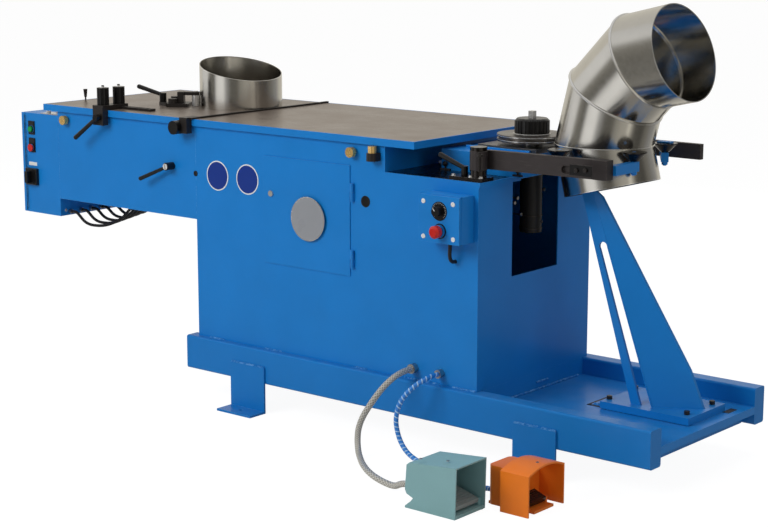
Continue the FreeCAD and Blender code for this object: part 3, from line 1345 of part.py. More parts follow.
def flanging_frame():
    outer, _ = flange_roll_places()
    way = math.radians(FLANGE_AZIMUTH)
    out = Vector(math.cos(way), math.sin(way), 0)
    side = Vector(-out.y, out.x, 0)
    depth, width, thickness = FLANGE_PLATE
    plate_top = TABLE_TOP + thickness
    centre = Vector(outer[0], outer[1], 0) + out * (FLANGE_OUTER_RADIUS + FLANGE_PLATE_REACH)
    corners = []
    for a, b in ((-1, -1), (1, -1), (1, 1), (-1, 1)):
        corner = centre + out * (a * depth / 2) + side * (b * width / 2)
        corners.append((corner.x, corner.y))
    plate = prism_xy(corners, TABLE_TOP, plate_top)
    arm_bottom = TABLE_TOP + 1 + FLANGE_OUTER_HEIGHT + SLIDE_GAP
    block_start, block_length, block_width = FLANGE_BLOCK
    bridge_width, eye_radius, bridge_height = FLANGE_BRIDGE
    arm_top = arm_bottom + bridge_height
    start = centre - out * block_start
    finish = start + out * block_length
    block = flat_bar((start.x, start.y), (finish.x, finish.y), block_width, plate_top, arm_top)
    lap = start + out * (block_length / 6)
    arm = flat_bar(outer, (lap.x, lap.y), bridge_width, arm_bottom, arm_top)
    arm = arm.fuse(rod(outer[0], outer[1], arm_bottom, eye_radius, bridge_height))
    frame = fused(plate, block, arm)
    frame = frame.cut(rod(outer[0], outer[1], arm_bottom, FLANGE_SHAFT + SHAFT_GAP, bridge_height))
    for along, across, radius, height in FLANGE_STUDS:
        p = centre + out * along + side * across
        frame = frame.fuse(rod(p.x, p.y, plate_top, radius, height))
    hub_x, hub_y = MID_LEVER_HUB
    link_start = centre + out * (depth / 2 - 2)
    link = flat_bar((link_start.x, link_start.y), MID_LEVER_HUB, FLANGE_LINK_WIDTH, TABLE_TOP, plate_top)
    pivot = rod(hub_x, hub_y, TABLE_TOP, FLANGE_LINK_WIDTH / 2, thickness)
    pin = rod(hub_x, hub_y, plate_top, LEVER_SHAFT, LEVER_PIN_LENGTH)
    return [fused(frame, link, pivot, pin)]


def guide_roller(side):
    x, y = GUIDE_POINTS[side]
    bottom = TABLE_TOP + GUIDE_ARM_TOP + SLIDE_GAP
    body = rod(x, y, bottom, GUIDE_RADIUS, GUIDE_HEIGHT)
    for k in range(GUIDE_FLUTES):
        turn = 2 * math.pi * k / GUIDE_FLUTES
        groove_x = x + GUIDE_RADIUS * math.cos(turn)
        groove_y = y + GUIDE_RADIUS * math.sin(turn)
        body = body.cut(rod(groove_x, groove_y, bottom, GUIDE_FLUTE_RADIUS, GUIDE_HEIGHT))
    return [body.cut(rod(x, y, bottom, GUIDE_PIN + SHAFT_GAP, GUIDE_HEIGHT))]


def table_brackets():
    x0, x1 = BRACKET_X
    arm_top = TABLE_TOP + GUIDE_ARM_TOP
    clamp = box(x0, x1, BRACKET_Y, TABLE_FRONT - SLIDE_GAP, TABLE_TOP - BRACKET_DROP, arm_top)
    reach = max(p[1] for p in GUIDE_POINTS.values()) + GUIDE_RADIUS
    arm = box(x0, x1, TABLE_FRONT - SLIDE_GAP, reach, TABLE_TOP, arm_top)
    left = fused(clamp, arm)
    for x, y in GUIDE_POINTS.values():
        left = left.fuse(rod(x, y, arm_top, GUIDE_PIN, GUIDE_HEIGHT + 9))
    hub_x, hub_z = EDGE_LEVER_HUB
    left = left.cut(rod(hub_x, BRACKET_Y, hub_z, LEVER_SHAFT + SHAFT_GAP, BRACKET_SHAFT_DEPTH, Y_AXIS))
    tail_y = reach - SLOTTED_BAR_INSET
    bar_length, bar_width, bar_height = SLOTTED_BAR
    slot_start, slot_end, slot_width = BAR_SLOT
    bar_top = TABLE_TOP + bar_height
    slotted = box(x1, x1 + bar_length, tail_y - bar_width / 2, tail_y + bar_width / 2, TABLE_TOP, bar_top)
    slot_y = (tail_y - slot_width / 2, tail_y + slot_width / 2)
    slot = box(x1 + slot_start, x1 + slot_end, *slot_y, TABLE_TOP, bar_top)
    left = fused(left, slotted.cut(slot))
    rx0, rx1 = RIGHT_BRACKET_X
    strip_width, strip_height = SPLIT_STRIP
    strip_top = TABLE_TOP + strip_height
    right = box(rx0, rx1, BRACKET_Y, TABLE_FRONT - SLIDE_GAP, TABLE_TOP - RIGHT_BRACKET_DROP, strip_top)
    knob_x, knob_z = BRACKET_KNOB_PLACE
    lug_back = BRACKET_Y + BRACKET_SHAFT_DEPTH
    lug = box(knob_x - KNOB_LUG, rx0, BRACKET_Y, lug_back, knob_z - KNOB_LUG, knob_z + KNOB_LUG)
    right = right.fuse(lug)
    tongue = box(rx0, rx1, TABLE_FRONT - SLIDE_GAP, BRACKET_TONGUE, TABLE_TOP, strip_top)
    strip_front = TABLE_FRONT - SPLIT_STRIP_PROUD
    strip = box(-strip_width / 2, strip_width / 2, strip_front, TABLE_REAR, TABLE_TOP, strip_top)
    bore = rod(knob_x, BRACKET_Y, knob_z, LEVER_SHAFT + SHAFT_GAP, BRACKET_SHAFT_DEPTH, Y_AXIS)
    right = fused(right, tongue, strip).cut(bore)
    pin_x = TABLE_LEFT + TABLE_PIN_INSET
    stem_radius, stem_height = TABLE_PIN
    stem = rod(pin_x, TABLE_PIN_Y, TABLE_TOP, stem_radius, stem_height)
    pin = fused(stem, cone(pin_x, TABLE_PIN_Y, TABLE_TOP + stem_height, *TABLE_PIN_GRIP))
    bx, by = BRASS_TOP
    lug_top = screw_lug_top()
    lug_bottom = lug_top - SCREW_LUG_HEIGHT
    lug_radius = SCREW_LUG_RADIUS
    screw_lug = fused(
        rod(bx, by, lug_bottom, lug_radius, SCREW_LUG_HEIGHT),
        box(bx - lug_radius, bx + lug_radius, by, 0, lug_bottom, lug_top),
    ).cut(rod(bx, by, lug_bottom, KNOB_SHAFT + SHAFT_GAP, SCREW_LUG_HEIGHT))
    return [left, right, pin, screw_lug]


# Cabinet, control box and their controls


def cabinet_button_places():
    x = CABINET_LEFT + BUTTON_X_INSET
    return {
        "start": (x, TABLE_TOP - START_DROP),
        "stop": (x, TABLE_TOP - STOP_DROP),
        "switch": (x, TABLE_TOP - SWITCH_DROP),
    }


def cabinet_shell():
    t = CABINET_SHEET
    outer = box(CABINET_LEFT, CABINET_RIGHT, 0, CABINET_DEPTH, CABINET_BOTTOM, CABINET_TOP)
    inner = box(
        CABINET_LEFT, CABINET_RIGHT - t, t, CABINET_DEPTH - t, CABINET_BOTTOM + t, CABINET_TOP - t
    )
    shell = outer.cut(inner)
    places = cabinet_button_places()
    for name in ("start", "stop"):
        x, z = places[name]
        shell = shell.fuse(rod(x, -BEZEL_DEPTH, z, BEZEL_RADIUS, BEZEL_DEPTH, Y_AXIS))
        shell = shell.cut(rod(x, -BEZEL_DEPTH, z, BUTTON_RADIUS + SHAFT_GAP, BEZEL_DEPTH + t, Y_AXIS))
    x, z = places["switch"]
    half = SWITCH_PLATE / 2
    shell = shell.fuse(box(x - half, x + half, -SWITCH_PLATE_DEPTH, 0, z - half, z + half))
    shell = shell.cut(rod(x, -SWITCH_PLATE_DEPTH, z, KNOB_SHAFT + SHAFT_GAP, SWITCH_PLATE_DEPTH + t, Y_AXIS))
    hx, hy = cabinet_hinge_axis()
    half_length = HINGE_LENGTH / 2
    solids = []
    for bottom in cabinet_hinge_heights():
        knuckle = rod(hx, hy, bottom, HINGE_RADIUS, half_length - SLIDE_GAP)
        leaf = box(hx, hx + CABINET_LEAF[0], CABINET_DEPTH, hy, bottom, bottom + half_length - SLIDE_GAP)
        leaf_top = bottom + half_length
        leaf = leaf.cut(box(hx, CABINET_LEFT, CABINET_DEPTH, CABINET_DEPTH + DOOR_GAP, bottom, leaf_top))
        pin = rod(hx, hy, bottom, HINGE_PIN_RADIUS, HINGE_LENGTH)
        solids.append(fused(knuckle, leaf, pin))
    return [fused(shell, *solids)]


def cabinet_hinge_axis():
    return CABINET_LEFT - CABINET_DOOR_GAP - 2, CABINET_DEPTH + CABINET_HINGE_GAP + HINGE_RADIUS


def cabinet_hinge_heights():
    """Bottom of each hinge of the end door."""
    return [CABINET_BOTTOM + CABINET_HINGE_INSET, CABINET_TOP - CABINET_HINGE_INSET - HINGE_LENGTH]


def cabinet_door():
    x1 = CABINET_LEFT - CABINET_DOOR_GAP
    x0 = x1 - CABINET_DOOR
    t = CABINET_SHEET
    outer = box(x0, x1, 0, CABINET_DEPTH, CABINET_BOTTOM, CABINET_TOP)
    inner = box(x0 + t, x1, t, CABINET_DEPTH - t, CABINET_BOTTOM + t, CABINET_TOP - t)
    door = outer.cut(inner)
    hx, hy = cabinet_hinge_axis()
    half = HINGE_LENGTH / 2
    for bottom in cabinet_hinge_heights():
        middle = bottom + half
        leaf = box(hx - CABINET_LEAF[1], hx, CABINET_DEPTH, hy, middle, middle + half)
        door = door.fuse(leaf).fuse(rod(hx, hy, middle, HINGE_RADIUS, half))
        door = door.cut(rod(hx, hy, middle, HINGE_PIN_RADIUS + SHAFT_GAP, half))
    return [door.removeSplitter()]


def push_button(name, head_radius):
    x, z = cabinet_button_places()[name]
    proud = BEZEL_DEPTH + BUTTON_TRAVEL + 1
    stem = rod(x, -proud, z, BUTTON_RADIUS, proud + CABINET_SHEET + 2, Y_AXIS)
    cap = rod(x, -proud - BUTTON_CAP, z, head_radius, BUTTON_CAP, Y_AXIS)
    return [fused(stem, cap)]


def switch_knob():
    x, z = cabinet_button_places()["switch"]
    face = -SWITCH_PLATE_DEPTH - SLIDE_GAP
    disc = rod(x, face - SWITCH_DISC, z, SWITCH_RADIUS, SWITCH_DISC, Y_AXIS)
    half = SWITCH_GRIP / 2
    reach = SWITCH_RADIUS - 2
    grip = box(x - half, x + half, face - SWITCH_DEPTH, face - SWITCH_DISC, z - reach, z + reach)
    shaft = rod(x, face, z, KNOB_SHAFT, SLIDE_GAP + SWITCH_PLATE_DEPTH + CABINET_SHEET + KNOB_TAIL, Y_AXIS)
    return [fused(disc, grip, shaft)]


def control_box():
    t = CONTROL_BOX_WALL
    case = box(BOX_LEFT, BOX_RIGHT, BOX_FRONT, 0, BOX_BOTTOM, BOX_TOP)
    case = case.cut(box(BOX_LEFT + t, BOX_RIGHT - t, BOX_FRONT + t, -t, BOX_BOTTOM + t, BOX_TOP - t))
    dial_x, dial_z = DIAL_PLACE
    case = case.cut(rod(dial_x, BOX_FRONT, dial_z, KNOB_SHAFT + SHAFT_GAP, t, Y_AXIS))
    stop_x, stop_z = STOP_PLACE
    collar_front = BOX_FRONT - STOP_COLLAR
    case = case.fuse(rod(stop_x, collar_front, stop_z, STOP_COLLAR_RADIUS, STOP_COLLAR, Y_AXIS))
    return [case.cut(rod(stop_x, collar_front, stop_z, BUTTON_RADIUS + SHAFT_GAP, STOP_COLLAR + t, Y_AXIS))]


def speed_dial():
    x, z = DIAL_PLACE
    face = BOX_FRONT - SLIDE_GAP
    skirt_face = face - DIAL_SKIRT
    skirt = rod(x, skirt_face, z, DIAL_SKIRT_RADIUS, DIAL_SKIRT, Y_AXIS)
    knob = rod(x, skirt_face - DIAL_KNOB_DEPTH, z, DIAL_KNOB_RADIUS, DIAL_KNOB_DEPTH, Y_AXIS)
    shaft = rod(x, face, z, KNOB_SHAFT, 4 * CONTROL_BOX_WALL, Y_AXIS)
    return [fused(skirt, knob, shaft)]


def emergency_stop():
    x, z = STOP_PLACE
    back = BOX_FRONT - STOP_COLLAR - MUSHROOM_TRAVEL - 1
    rim = rod(x, back - MUSHROOM_EDGE, z, MUSHROOM_RADIUS, MUSHROOM_EDGE, Y_AXIS)
    dome_front = back - MUSHROOM_EDGE - MUSHROOM_DOME
    dome = cone(x, dome_front, z, MUSHROOM_RADIUS - MUSHROOM_DOME, MUSHROOM_RADIUS, MUSHROOM_DOME, Y_AXIS)
    stem = rod(x, back, z, BUTTON_RADIUS, BOX_FRONT + CONTROL_BOX_WALL + BUTTON_CAP - back, Y_AXIS)
    return [fused(dome, rim, stem)]


# Foot pedals


def pedal_profile():
    """Side outline of the grey pedal hood in XZ, from its front foot round over the top."""
    x0, x1, _, _ = GREY_PEDAL
    rear_top, front_top = GREY_PEDAL_TOP
    outline = [(x1 - GREY_PEDAL_WALL, 0), (x1, front_top)]
    outline += [(x0 + x, rear_top + z) for x, z in GREY_BACK]
    return outline + [(x0 + x, z) for x, z in GREY_WAIST]


def pedal_housing():
    x0, x1, y0, y1 = GREY_PEDAL
    t = GREY_PEDAL_WALL
    rear_top, front_top = GREY_PEDAL_TOP
    hood = prism_xz(pedal_profile(), y0, y1)
    cavity = [(x1 + t, GREY_FLOOR), (x1 + t, front_top - t)]
    cavity += [(x0 + x, rear_top - t + z) for x, z in GREY_CAVITY]
    cavity += [(x0 + x, z) for x, z in GREY_CAVITY_WAIST]
    hood = hood.cut(prism_xz(cavity, y0 + t, y1 - t))
    axle_x, axle_z = GREY_AXLE
    lug = PEDAL_LUG[0]
    for y in (y0 + t, y1 - t - AXLE_LUG):
        hood = hood.fuse(box(axle_x - lug, axle_x + lug, y, y + AXLE_LUG, GREY_FLOOR, axle_z + PEDAL_LUG[1]))
    axle = rod(axle_x, y0 + t, axle_z, AXLE_RADIUS, y1 - y0 - 2 * t, Y_AXIS)
    hood = hood.fuse(axle).fuse(inlet_boss(pedal_inlets()[0], GREY_DIAMETER))
    return [hood.removeSplitter()]


def treadle(axle, reach, rise, y0, y1, ribs):
    """Rib topped plate that rises from its axle away from the opening."""
    ax, az = axle
    length = math.hypot(reach, rise)
    under, over = TREADLE_PLATE
    rib, proud = TREADLE_RIB
    knuckle, low, high = TREADLE_KNUCKLE
    plate = box(-length, knuckle, y0, y1, under, over)
    for k in range(ribs):
        x = -length + knuckle + k * (length - knuckle) / ribs
        plate = plate.fuse(box(x, x + rib, y0 + rib, y1 - rib, over, over + proud))
    plate = plate.fuse(box(-knuckle, knuckle, y0, y1, low, high))
    plate.rotate(Vector(), Y_AXIS, math.degrees(math.atan2(rise, reach)))
    plate.translate(Vector(ax, 0, az))
    return plate.cut(rod(ax, y0, az, AXLE_RADIUS + SHAFT_GAP, y1 - y0, Y_AXIS)).removeSplitter()


def pedal_treadle():
    _, _, y0, y1 = GREY_PEDAL
    inset = GREY_PEDAL_WALL + AXLE_LUG + SLIDE_GAP
    reach, rise, ribs = GREY_TREADLE
    return [treadle(GREY_AXLE, reach, rise, y0 + inset, y1 - inset, ribs)]


def footswitch_housing():
    x0, x1, y0, y1 = ORANGE_PEDAL
    t = ORANGE_WALL
    middle = (y0 + y1) / 2

    def arch(inset, foot):
        left = Vector(x0, y0 + inset, foot)
        left_top = Vector(x0, y0 + inset, ORANGE_SIDE - inset)
        crest = Vector(x0, middle, ORANGE_CREST - inset)
        right_top = Vector(x0, y1 - inset, ORANGE_SIDE - inset)
        right = Vector(x0, y1 - inset, foot)
        return Part.Face(
            Part.Wire(
                [
                    Part.LineSegment(left, left_top).toShape(),
                    Part.Arc(left_top, crest, right_top).toShape(),
                    Part.LineSegment(right_top, right).toShape(),
                    Part.LineSegment(right, left).toShape(),
                ]
            )
        )

    hood = arch(0, 0).extrude(Vector(x1 - x0, 0, 0))
    hood = hood.cut(arch(t, -5).extrude(Vector(x1 - x0, 0, 0)))
    rear_x = x0 - ORANGE_REAR
    cheek = ORANGE_CHEEK
    base = box(rear_x, x1 - ORANGE_BASE, y0 + cheek, y1 - cheek, 0, ORANGE_BASE)
    front_inset, rear_inset = ORANGE_REAR_INSET
    rear = box(rear_x, x0, y0 + front_inset, y1 - rear_inset, 0, ORANGE_REAR_HEIGHT)
    upright = [e for e in rear.Edges if e.Length > ORANGE_REAR_HEIGHT - 1 and e.CenterOfMass.x < rear_x + 4]
    rear = rear.makeFillet(ORANGE_REAR_ROUND, upright).fuse(inlet_boss(pedal_inlets()[1], BLUE_DIAMETER))
    tie_depth, tie_height = ORANGE_TIE
    side_tie = box(x0, x0 + tie_depth, y0, y1, 0, tie_height)
    whole = fused(hood, base, rear, side_tie)
    ax, az = ORANGE_AXLE
    for y in (y0 + cheek, y1 - cheek - ORANGE_LUG):
        whole = whole.fuse(box(ax - SWITCH_LUG, ax + SWITCH_LUG, y, y + ORANGE_LUG, 0, az + PEDAL_LUG[1]))
    whole = whole.fuse(rod(ax, y0 + cheek, az, AXLE_RADIUS, y1 - y0 - 2 * cheek, Y_AXIS))
    return [whole.removeSplitter()]


def switch_treadle():
    _, _, y0, y1 = ORANGE_PEDAL
    inset = ORANGE_CHEEK + ORANGE_LUG + SLIDE_GAP
    reach, rise, ribs = ORANGE_TREADLE
    return [treadle(ORANGE_AXLE, reach, rise, y0 + inset, y1 - inset, ribs)]


# Hoses and cables

GREY_ROUTE = [
    (GREY_GLAND_X, -GLAND_LENGTH, GLAND_Z),
    (GREY_GLAND_X, -58.0, GLAND_Z),
    (983.0, -100.0, 250.0),
    (966.0, -136.0, 219.0),
    (944.0, -163.0, 173.0),
    (921.0, -182.0, 124.0),
    (912.0, -192.0, 84.0),
    (918.0, -202.0, 48.0),
    (938.0, -221.0, 21.0),
    (968.0, -246.0, 10.5),
    (1010.0, -285.0, 10.5),
    (1080.0, -338.0, 10.5),
    (1160.0, -378.0, 10.5),
    (1238.0, -404.0, 14.0),
    (1280.0, -427.0, 38.0),
    (1316.0, -434.0, 46.0),
]
BLUE_ROUTE = [
    (BLUE_GLAND_X, -GLAND_LENGTH, GLAND_Z),
    (BLUE_GLAND_X, -56.0, GLAND_Z),
    (1089.0, -92.0, 252.0),
    (1069.0, -117.0, 230.0),
    (1046.0, -129.0, 200.0),
    (1027.0, -132.0, 163.0),
    (1019.0, -132.5, 120.0),
    (1026.0, -132.0, 83.0),
    (1042.5, -134.0, 51.0),
    (1069.0, -138.0, 27.0),
    (1104.0, -146.0, 14.5),
    (1160.0, -161.0, 8.5),
    (1250.0, -192.0, 8.5),
    (1345.0, -226.0, 8.5),
    (1410.0, -249.0, 9.0),
    (1454.0, -260.5, 17.5),
    (1482.0, -262.0, 25.0),
]


def pedal_inlets():
    """Faces of the two bosses that the hoses end at."""
    grey_face = GREY_PEDAL[0] - BOSS_LENGTH
    blue_face = ORANGE_PEDAL[0] - ORANGE_REAR - BOSS_LENGTH
    _, grey_y, grey_z = GREY_ROUTE[-1]
    _, blue_y, blue_z = BLUE_ROUTE[-1]
    return (grey_face, grey_y, grey_z), (blue_face, blue_y, blue_z)


def inlet_boss(place, diameter):
    """Boss that reaches into the pedal's wall."""
    return rod(*place, diameter / 2 + BOSS_WALL, BOSS_LENGTH + BOSS_WALL, X_AXIS)


def grey_hose():
    end, _ = pedal_inlets()
    return [tube(GREY_ROUTE + [end], GREY_DIAMETER, "grey_hose")]


def blue_hose():
    _, end = pedal_inlets()
    return [tube(BLUE_ROUTE + [end], BLUE_DIAMETER, "blue_hose")]


def cable_glands():
    glands = []
    for x, diameter in ((GREY_GLAND_X, GREY_DIAMETER), (BLUE_GLAND_X, BLUE_DIAMETER)):
        glands.append(rod(x, -GLAND_LENGTH, GLAND_Z, diameter / 2 + GLAND_WALL, GLAND_LENGTH, Y_AXIS))
    radius, length = CABLE_GLAND
    for y in cable_rows():
        glands.append(rod(CABINET_RIGHT, y, CABLE_Z, radius, length, X_AXIS))
    return glands


def cable_rows():
    first, last = CABLE_ROW
    step = (last - first) / (CABLE_COUNT - 1)
    return [first + k * step for k in range(CABLE_COUNT)]


def arm_cable(k, y):
    """Cable that sags from the cabinet's end wall and rises into the arm box."""
    front, rear = CABLE_ENTRY_Y
    pitch = (rear - front - 2 * CABLE_DIAMETER) / (CABLE_COUNT - 1)
    end_y = front + CABLE_DIAMETER + k * pitch
    sag = 46.0 - 5.0 * k
    x = CABINET_RIGHT + CABLE_GLAND[1]

    def row(share):
        return y + (end_y - y) * share

    points = [
        (x, y, CABLE_Z),
        (x + 26, y, CABLE_Z),
        (x + 62, row(0.15), CABLE_Z - sag),
        (x + 118, row(0.5), CABLE_Z - sag - 6),
        (x + 180, row(0.8), CABLE_Z - sag + 22),
        (x + 232, row(0.95), ARM_BOTTOM - 18),
        (CABLE_ENTRY_X, end_y, ARM_BOTTOM + 14),
    ]
    return tube(points, CABLE_DIAMETER, f"cable {k}")


def box_conduit():
    """Conduit from the control box's underside into the front wall."""
    top_x = BODY_LENGTH - CONDUIT_INSET[0]
    end_x = BODY_LENGTH - CONDUIT_INSET[1]
    y = -CONDUIT_STANDOFF
    points = [
        (top_x, y, BOX_BOTTOM),
        (top_x, y, BOX_BOTTOM - 24),
        (top_x - 2, y + 1, CONDUIT_Z + 26),
        (end_x + 2, y + 9, CONDUIT_Z + 9),
        (end_x, y + 24, CONDUIT_Z),
        (end_x, BODY_SHEET, CONDUIT_Z),
    ]
    return tube(points, CONDUIT_DIAMETER, "conduit")


def air_tube(k):
    """Thin line from the shelf down the inside of the right wall."""
    x = BODY_LENGTH - 24 - 14 * k
    y = WINDOW_FRONT + 24 + 10 * k
    inlet = SHELF_TOP - 60
    points = [
        (x, y, SHELF_BOTTOM),
        (x, y, inlet),
        (x - 20, y + 14, inlet - 120),
        (x - 70, y + 10, inlet - 250),
        (x - 90, y, inlet - 400),
        (x - 90, y, BODY_BOTTOM + BODY_SHEET),
    ]
    return tube(points, AIR_TUBE_DIAMETER, f"air tube {k}")


def fixed_cables():
    cables = [arm_cable(k, y) for k, y in enumerate(cable_rows())]
    return cables + [box_conduit(), air_tube(0), air_tube(1)]


NODES = {
    "base_frame": base_frame,
    "anchor_feet": anchor_feet,
    "deck_plate": deck_plate,
    "body_shell": body_shell,
    "arm_box": arm_box,
    "table_trim": table_trim,
    "table_plates": table_plates,
    "access_door": access_door,
    "door_hinges": door_hinges,
    "door_lock": door_lock,
    "head_housing": head_housing,
    "head_carriage": head_carriage,
    "closing_gearmotor": closing_gearmotor,
    "closing_spindle": closing_spindle,
    "closing_roll": closing_roll,
    "closing_nut": closing_nut,
    "elbow_duct": elbow_duct,
    "inner_roll": inner_roll,
    "column_frame": column_frame,
    "column_bolts": column_bolts,
    "arm_posts": arm_posts,
    "front_arm": front_arm,
    "rear_arm": rear_arm,
    "front_roller_bars": front_roller_bars,
    "rear_roller_bar": rear_roller_bar,
    "cone_roller_left": lambda: cone_roller("left"),
    "cone_roller_front": lambda: cone_roller("front"),
    "cone_roller_rear": lambda: cone_roller("rear"),
    "post_lever": post_lever,
    "front_lever": front_lever,
    "edge_lever": edge_lever,
    "mid_lever": mid_lever,
    "brass_knob_left": lambda: brass_knob(BRASS_LEFT),
    "brass_knob_right": lambda: brass_knob(BRASS_RIGHT),
    "brass_knob_top": brass_knob_top,
    "bracket_knob": bracket_knob,
    "gore_ring": gore_ring,
    "flange_gearmotor": flange_gearmotor,
    "flange_roll_outer": lambda: flange_roll(
        flange_roll_places()[0], FLANGE_OUTER_RADIUS, FLANGE_OUTER_HEIGHT, 16
    ),
    "flange_roll_inner": lambda: flange_roll(
        flange_roll_places()[1], FLANGE_INNER_RADIUS, FLANGE_INNER_HEIGHT, 0
    ),
    "flanging_frame": flanging_frame,
    "guide_roller_left": lambda: guide_roller("left"),
    "guide_roller_right": lambda: guide_roller("right"),
    "table_brackets": table_brackets,
    "cabinet_shell": cabinet_shell,
    "cabinet_door": cabinet_door,
    "start_button": lambda: push_button("start", START_HEAD_RADIUS),
    "stop_button": lambda: push_button("stop", STOP_HEAD_RADIUS),
    "switch_knob": switch_knob,
    "control_box": control_box,
    "speed_dial": speed_dial,
    "emergency_stop": emergency_stop,
    "pedal_housing": pedal_housing,
    "pedal_treadle": pedal_treadle,
    "footswitch_housing": footswitch_housing,
    "switch_treadle": switch_treadle,
    "grey_hose": grey_hose,
    "blue_hose": blue_hose,
    "cable_glands": cable_glands,
    "fixed_cables": fixed_cables,
}

os.makedirs("parts", exist_ok=True)
for node, make in NODES.items():
    solids = []
    for shape in make():
        solids += shape.Solids
    whole = Part.makeCompound(solids) if len(solids) > 1 else solids[0]
    whole.translate(-ORIGIN)
    if not whole.isValid():
        print("not valid:", node)
    whole.exportStep(f"parts/{node}.step")
print(len(NODES), "nodes")
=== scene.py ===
"""Looks of the elbow making machine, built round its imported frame."""

import json
import math

import bmesh
import bpy
from bpy.props import FloatProperty, FloatVectorProperty, IntProperty, PointerProperty
from mathutils import Matrix, Vector

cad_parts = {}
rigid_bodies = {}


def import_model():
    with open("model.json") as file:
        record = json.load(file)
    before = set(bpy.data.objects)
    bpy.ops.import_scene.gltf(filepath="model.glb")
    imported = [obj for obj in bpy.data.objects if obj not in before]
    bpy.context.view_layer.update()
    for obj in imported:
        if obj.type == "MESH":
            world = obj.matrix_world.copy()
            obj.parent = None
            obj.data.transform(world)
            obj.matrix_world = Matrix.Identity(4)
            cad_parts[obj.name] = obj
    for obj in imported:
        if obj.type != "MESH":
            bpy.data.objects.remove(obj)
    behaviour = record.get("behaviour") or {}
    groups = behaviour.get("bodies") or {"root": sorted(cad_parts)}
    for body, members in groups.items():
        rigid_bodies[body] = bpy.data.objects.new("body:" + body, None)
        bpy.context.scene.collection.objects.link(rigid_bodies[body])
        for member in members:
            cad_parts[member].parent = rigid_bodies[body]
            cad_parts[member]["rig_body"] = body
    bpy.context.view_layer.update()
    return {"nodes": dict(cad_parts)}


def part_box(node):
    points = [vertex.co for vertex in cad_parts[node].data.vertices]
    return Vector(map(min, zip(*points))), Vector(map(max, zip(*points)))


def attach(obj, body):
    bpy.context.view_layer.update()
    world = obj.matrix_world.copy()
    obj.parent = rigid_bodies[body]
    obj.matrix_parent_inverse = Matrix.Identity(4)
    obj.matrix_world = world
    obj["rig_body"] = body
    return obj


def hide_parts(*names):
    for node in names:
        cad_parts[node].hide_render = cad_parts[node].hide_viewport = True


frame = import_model()

bl_info = {
    "name": "Elbow Making Machine",
    "version": (1, 0, 0),
    "blender": (4, 5, 0),
    "location": "View3D > Sidebar > Elbow Machine",
    "description": "Builds the looks of a sheet metal elbow making machine",
    "category": "Add Mesh",
}

# Drawing frame: millimetres from the body's front left lower corner.
ORIGIN = Vector((878.5, 316.5, 0.0))
MILLIMETRE = 0.001
MERGE = 0.002
# How deep a drawn detail sits in the surface it is on.
SINK = 0.5
X_AXIS = Vector((1, 0, 0))
Y_AXIS = Vector((0, 1, 0))
Z_AXIS = Vector((0, 0, 1))
CLOSING = Vector((1200, 340, 0))
BOX_FRONT = -75.0
DIAL_PLACE = Vector((1146.0, BOX_FRONT, 803.0))
STOP_PLACE = Vector((1149.0, BOX_FRONT, 740.5))
RAIL_TOP = 224.0

# Hose lengths in metres, and routes as the control points of one smooth line each.
GREY_LENGTH = 0.840
BLUE_LENGTH = 0.810
GREY_ROUTE = [
    (990, -20, 263), (990, -58, 263), (983, -100, 250), (966, -136, 219),
    (944, -163, 173), (921, -182, 124), (912, -192, 84), (918, -202, 48),
    (938, -221, 21), (968, -246, 10.5), (1010, -285, 10.5), (1080, -338, 10.5),
    (1160, -378, 10.5), (1238, -404, 14), (1280, -427, 38), (1316, -434, 46),
    (1346, -434, 46),
]
BLUE_ROUTE = [
    (1099, -20, 263), (1099, -56, 263), (1089, -92, 252), (1069, -117, 230),
    (1046, -129, 200), (1027, -132, 163), (1019, -132.5, 120), (1026, -132, 83),
    (1042.5, -134, 51), (1069, -138, 27), (1104, -146, 14.5), (1160, -161, 8.5),
    (1250, -192, 8.5), (1345, -226, 8.5), (1410, -249, 9), (1454, -260.5, 17.5),
    (1482, -262, 25), (1511, -262, 25),
]


def colour_prop(name, description, default):
    return FloatVectorProperty(
        name=name, description=description, default=default, size=3,
        min=0.0, max=1.0, subtype="COLOR",
    )


def amount_prop(name, description, default):
    return FloatProperty(name=name, description=description, default=default, min=0.0)


class MachineColours(bpy.types.PropertyGroup):
    paint: colour_prop("Paint", "Blue paint of the casings", (0.008, 0.205, 0.600))
    rail: colour_prop("Rail paint", "Blue paint of the base frame", (0.007, 0.190, 0.560))
    table: colour_prop("Table", "Oiled steel of the table", (0.235, 0.186, 0.152))
    zinc: colour_prop("Zinc", "Galvanised duct sheet", (0.610, 0.590, 0.545))
    oxide: colour_prop("Black oxide", "Darkened steel of the arms", (0.034, 0.029, 0.027))
    bright: colour_prop("Bright steel", "Turned steel parts", (0.480, 0.460, 0.440))
    pedal: colour_prop("Pedal", "Grey green foot pedal", (0.255, 0.455, 0.470))
    switch: colour_prop("Foot switch", "Orange foot switch", (0.930, 0.225, 0.018))
    hose: colour_prop("Air hose", "Blue hose wall", (0.020, 0.215, 0.680))
    braid: colour_prop("Braid", "Metal braid of the grey hose", (0.720, 0.700, 0.640))
    sign: colour_prop("Sign", "Dark blue sign discs", (0.008, 0.035, 0.240))


class MachineSizes(bpy.types.PropertyGroup):
    sheet_edge: amount_prop("Sheet edge", "Round of the folded sheet edges, mm", 1.6)
    steel_edge: amount_prop("Steel edge", "Round of the machined edges, mm", 0.9)
    weld_width: amount_prop("Weld width", "Width of a weld bead, mm", 10.0)
    sign_diameter: amount_prop("Sign diameter", "Diameter of the sign discs, mm", 105.0)
    badge_diameter: amount_prop("Badge diameter", "Diameter of the blank plate, mm", 150.0)
    braid_crossings: IntProperty(
        name="Braid crossings", description="Wire bundles round the grey hose", default=12, min=4
    )
    spiral_pitch: amount_prop("Spiral pitch", "Pitch of the blue hose's spiral, mm", 21.0)


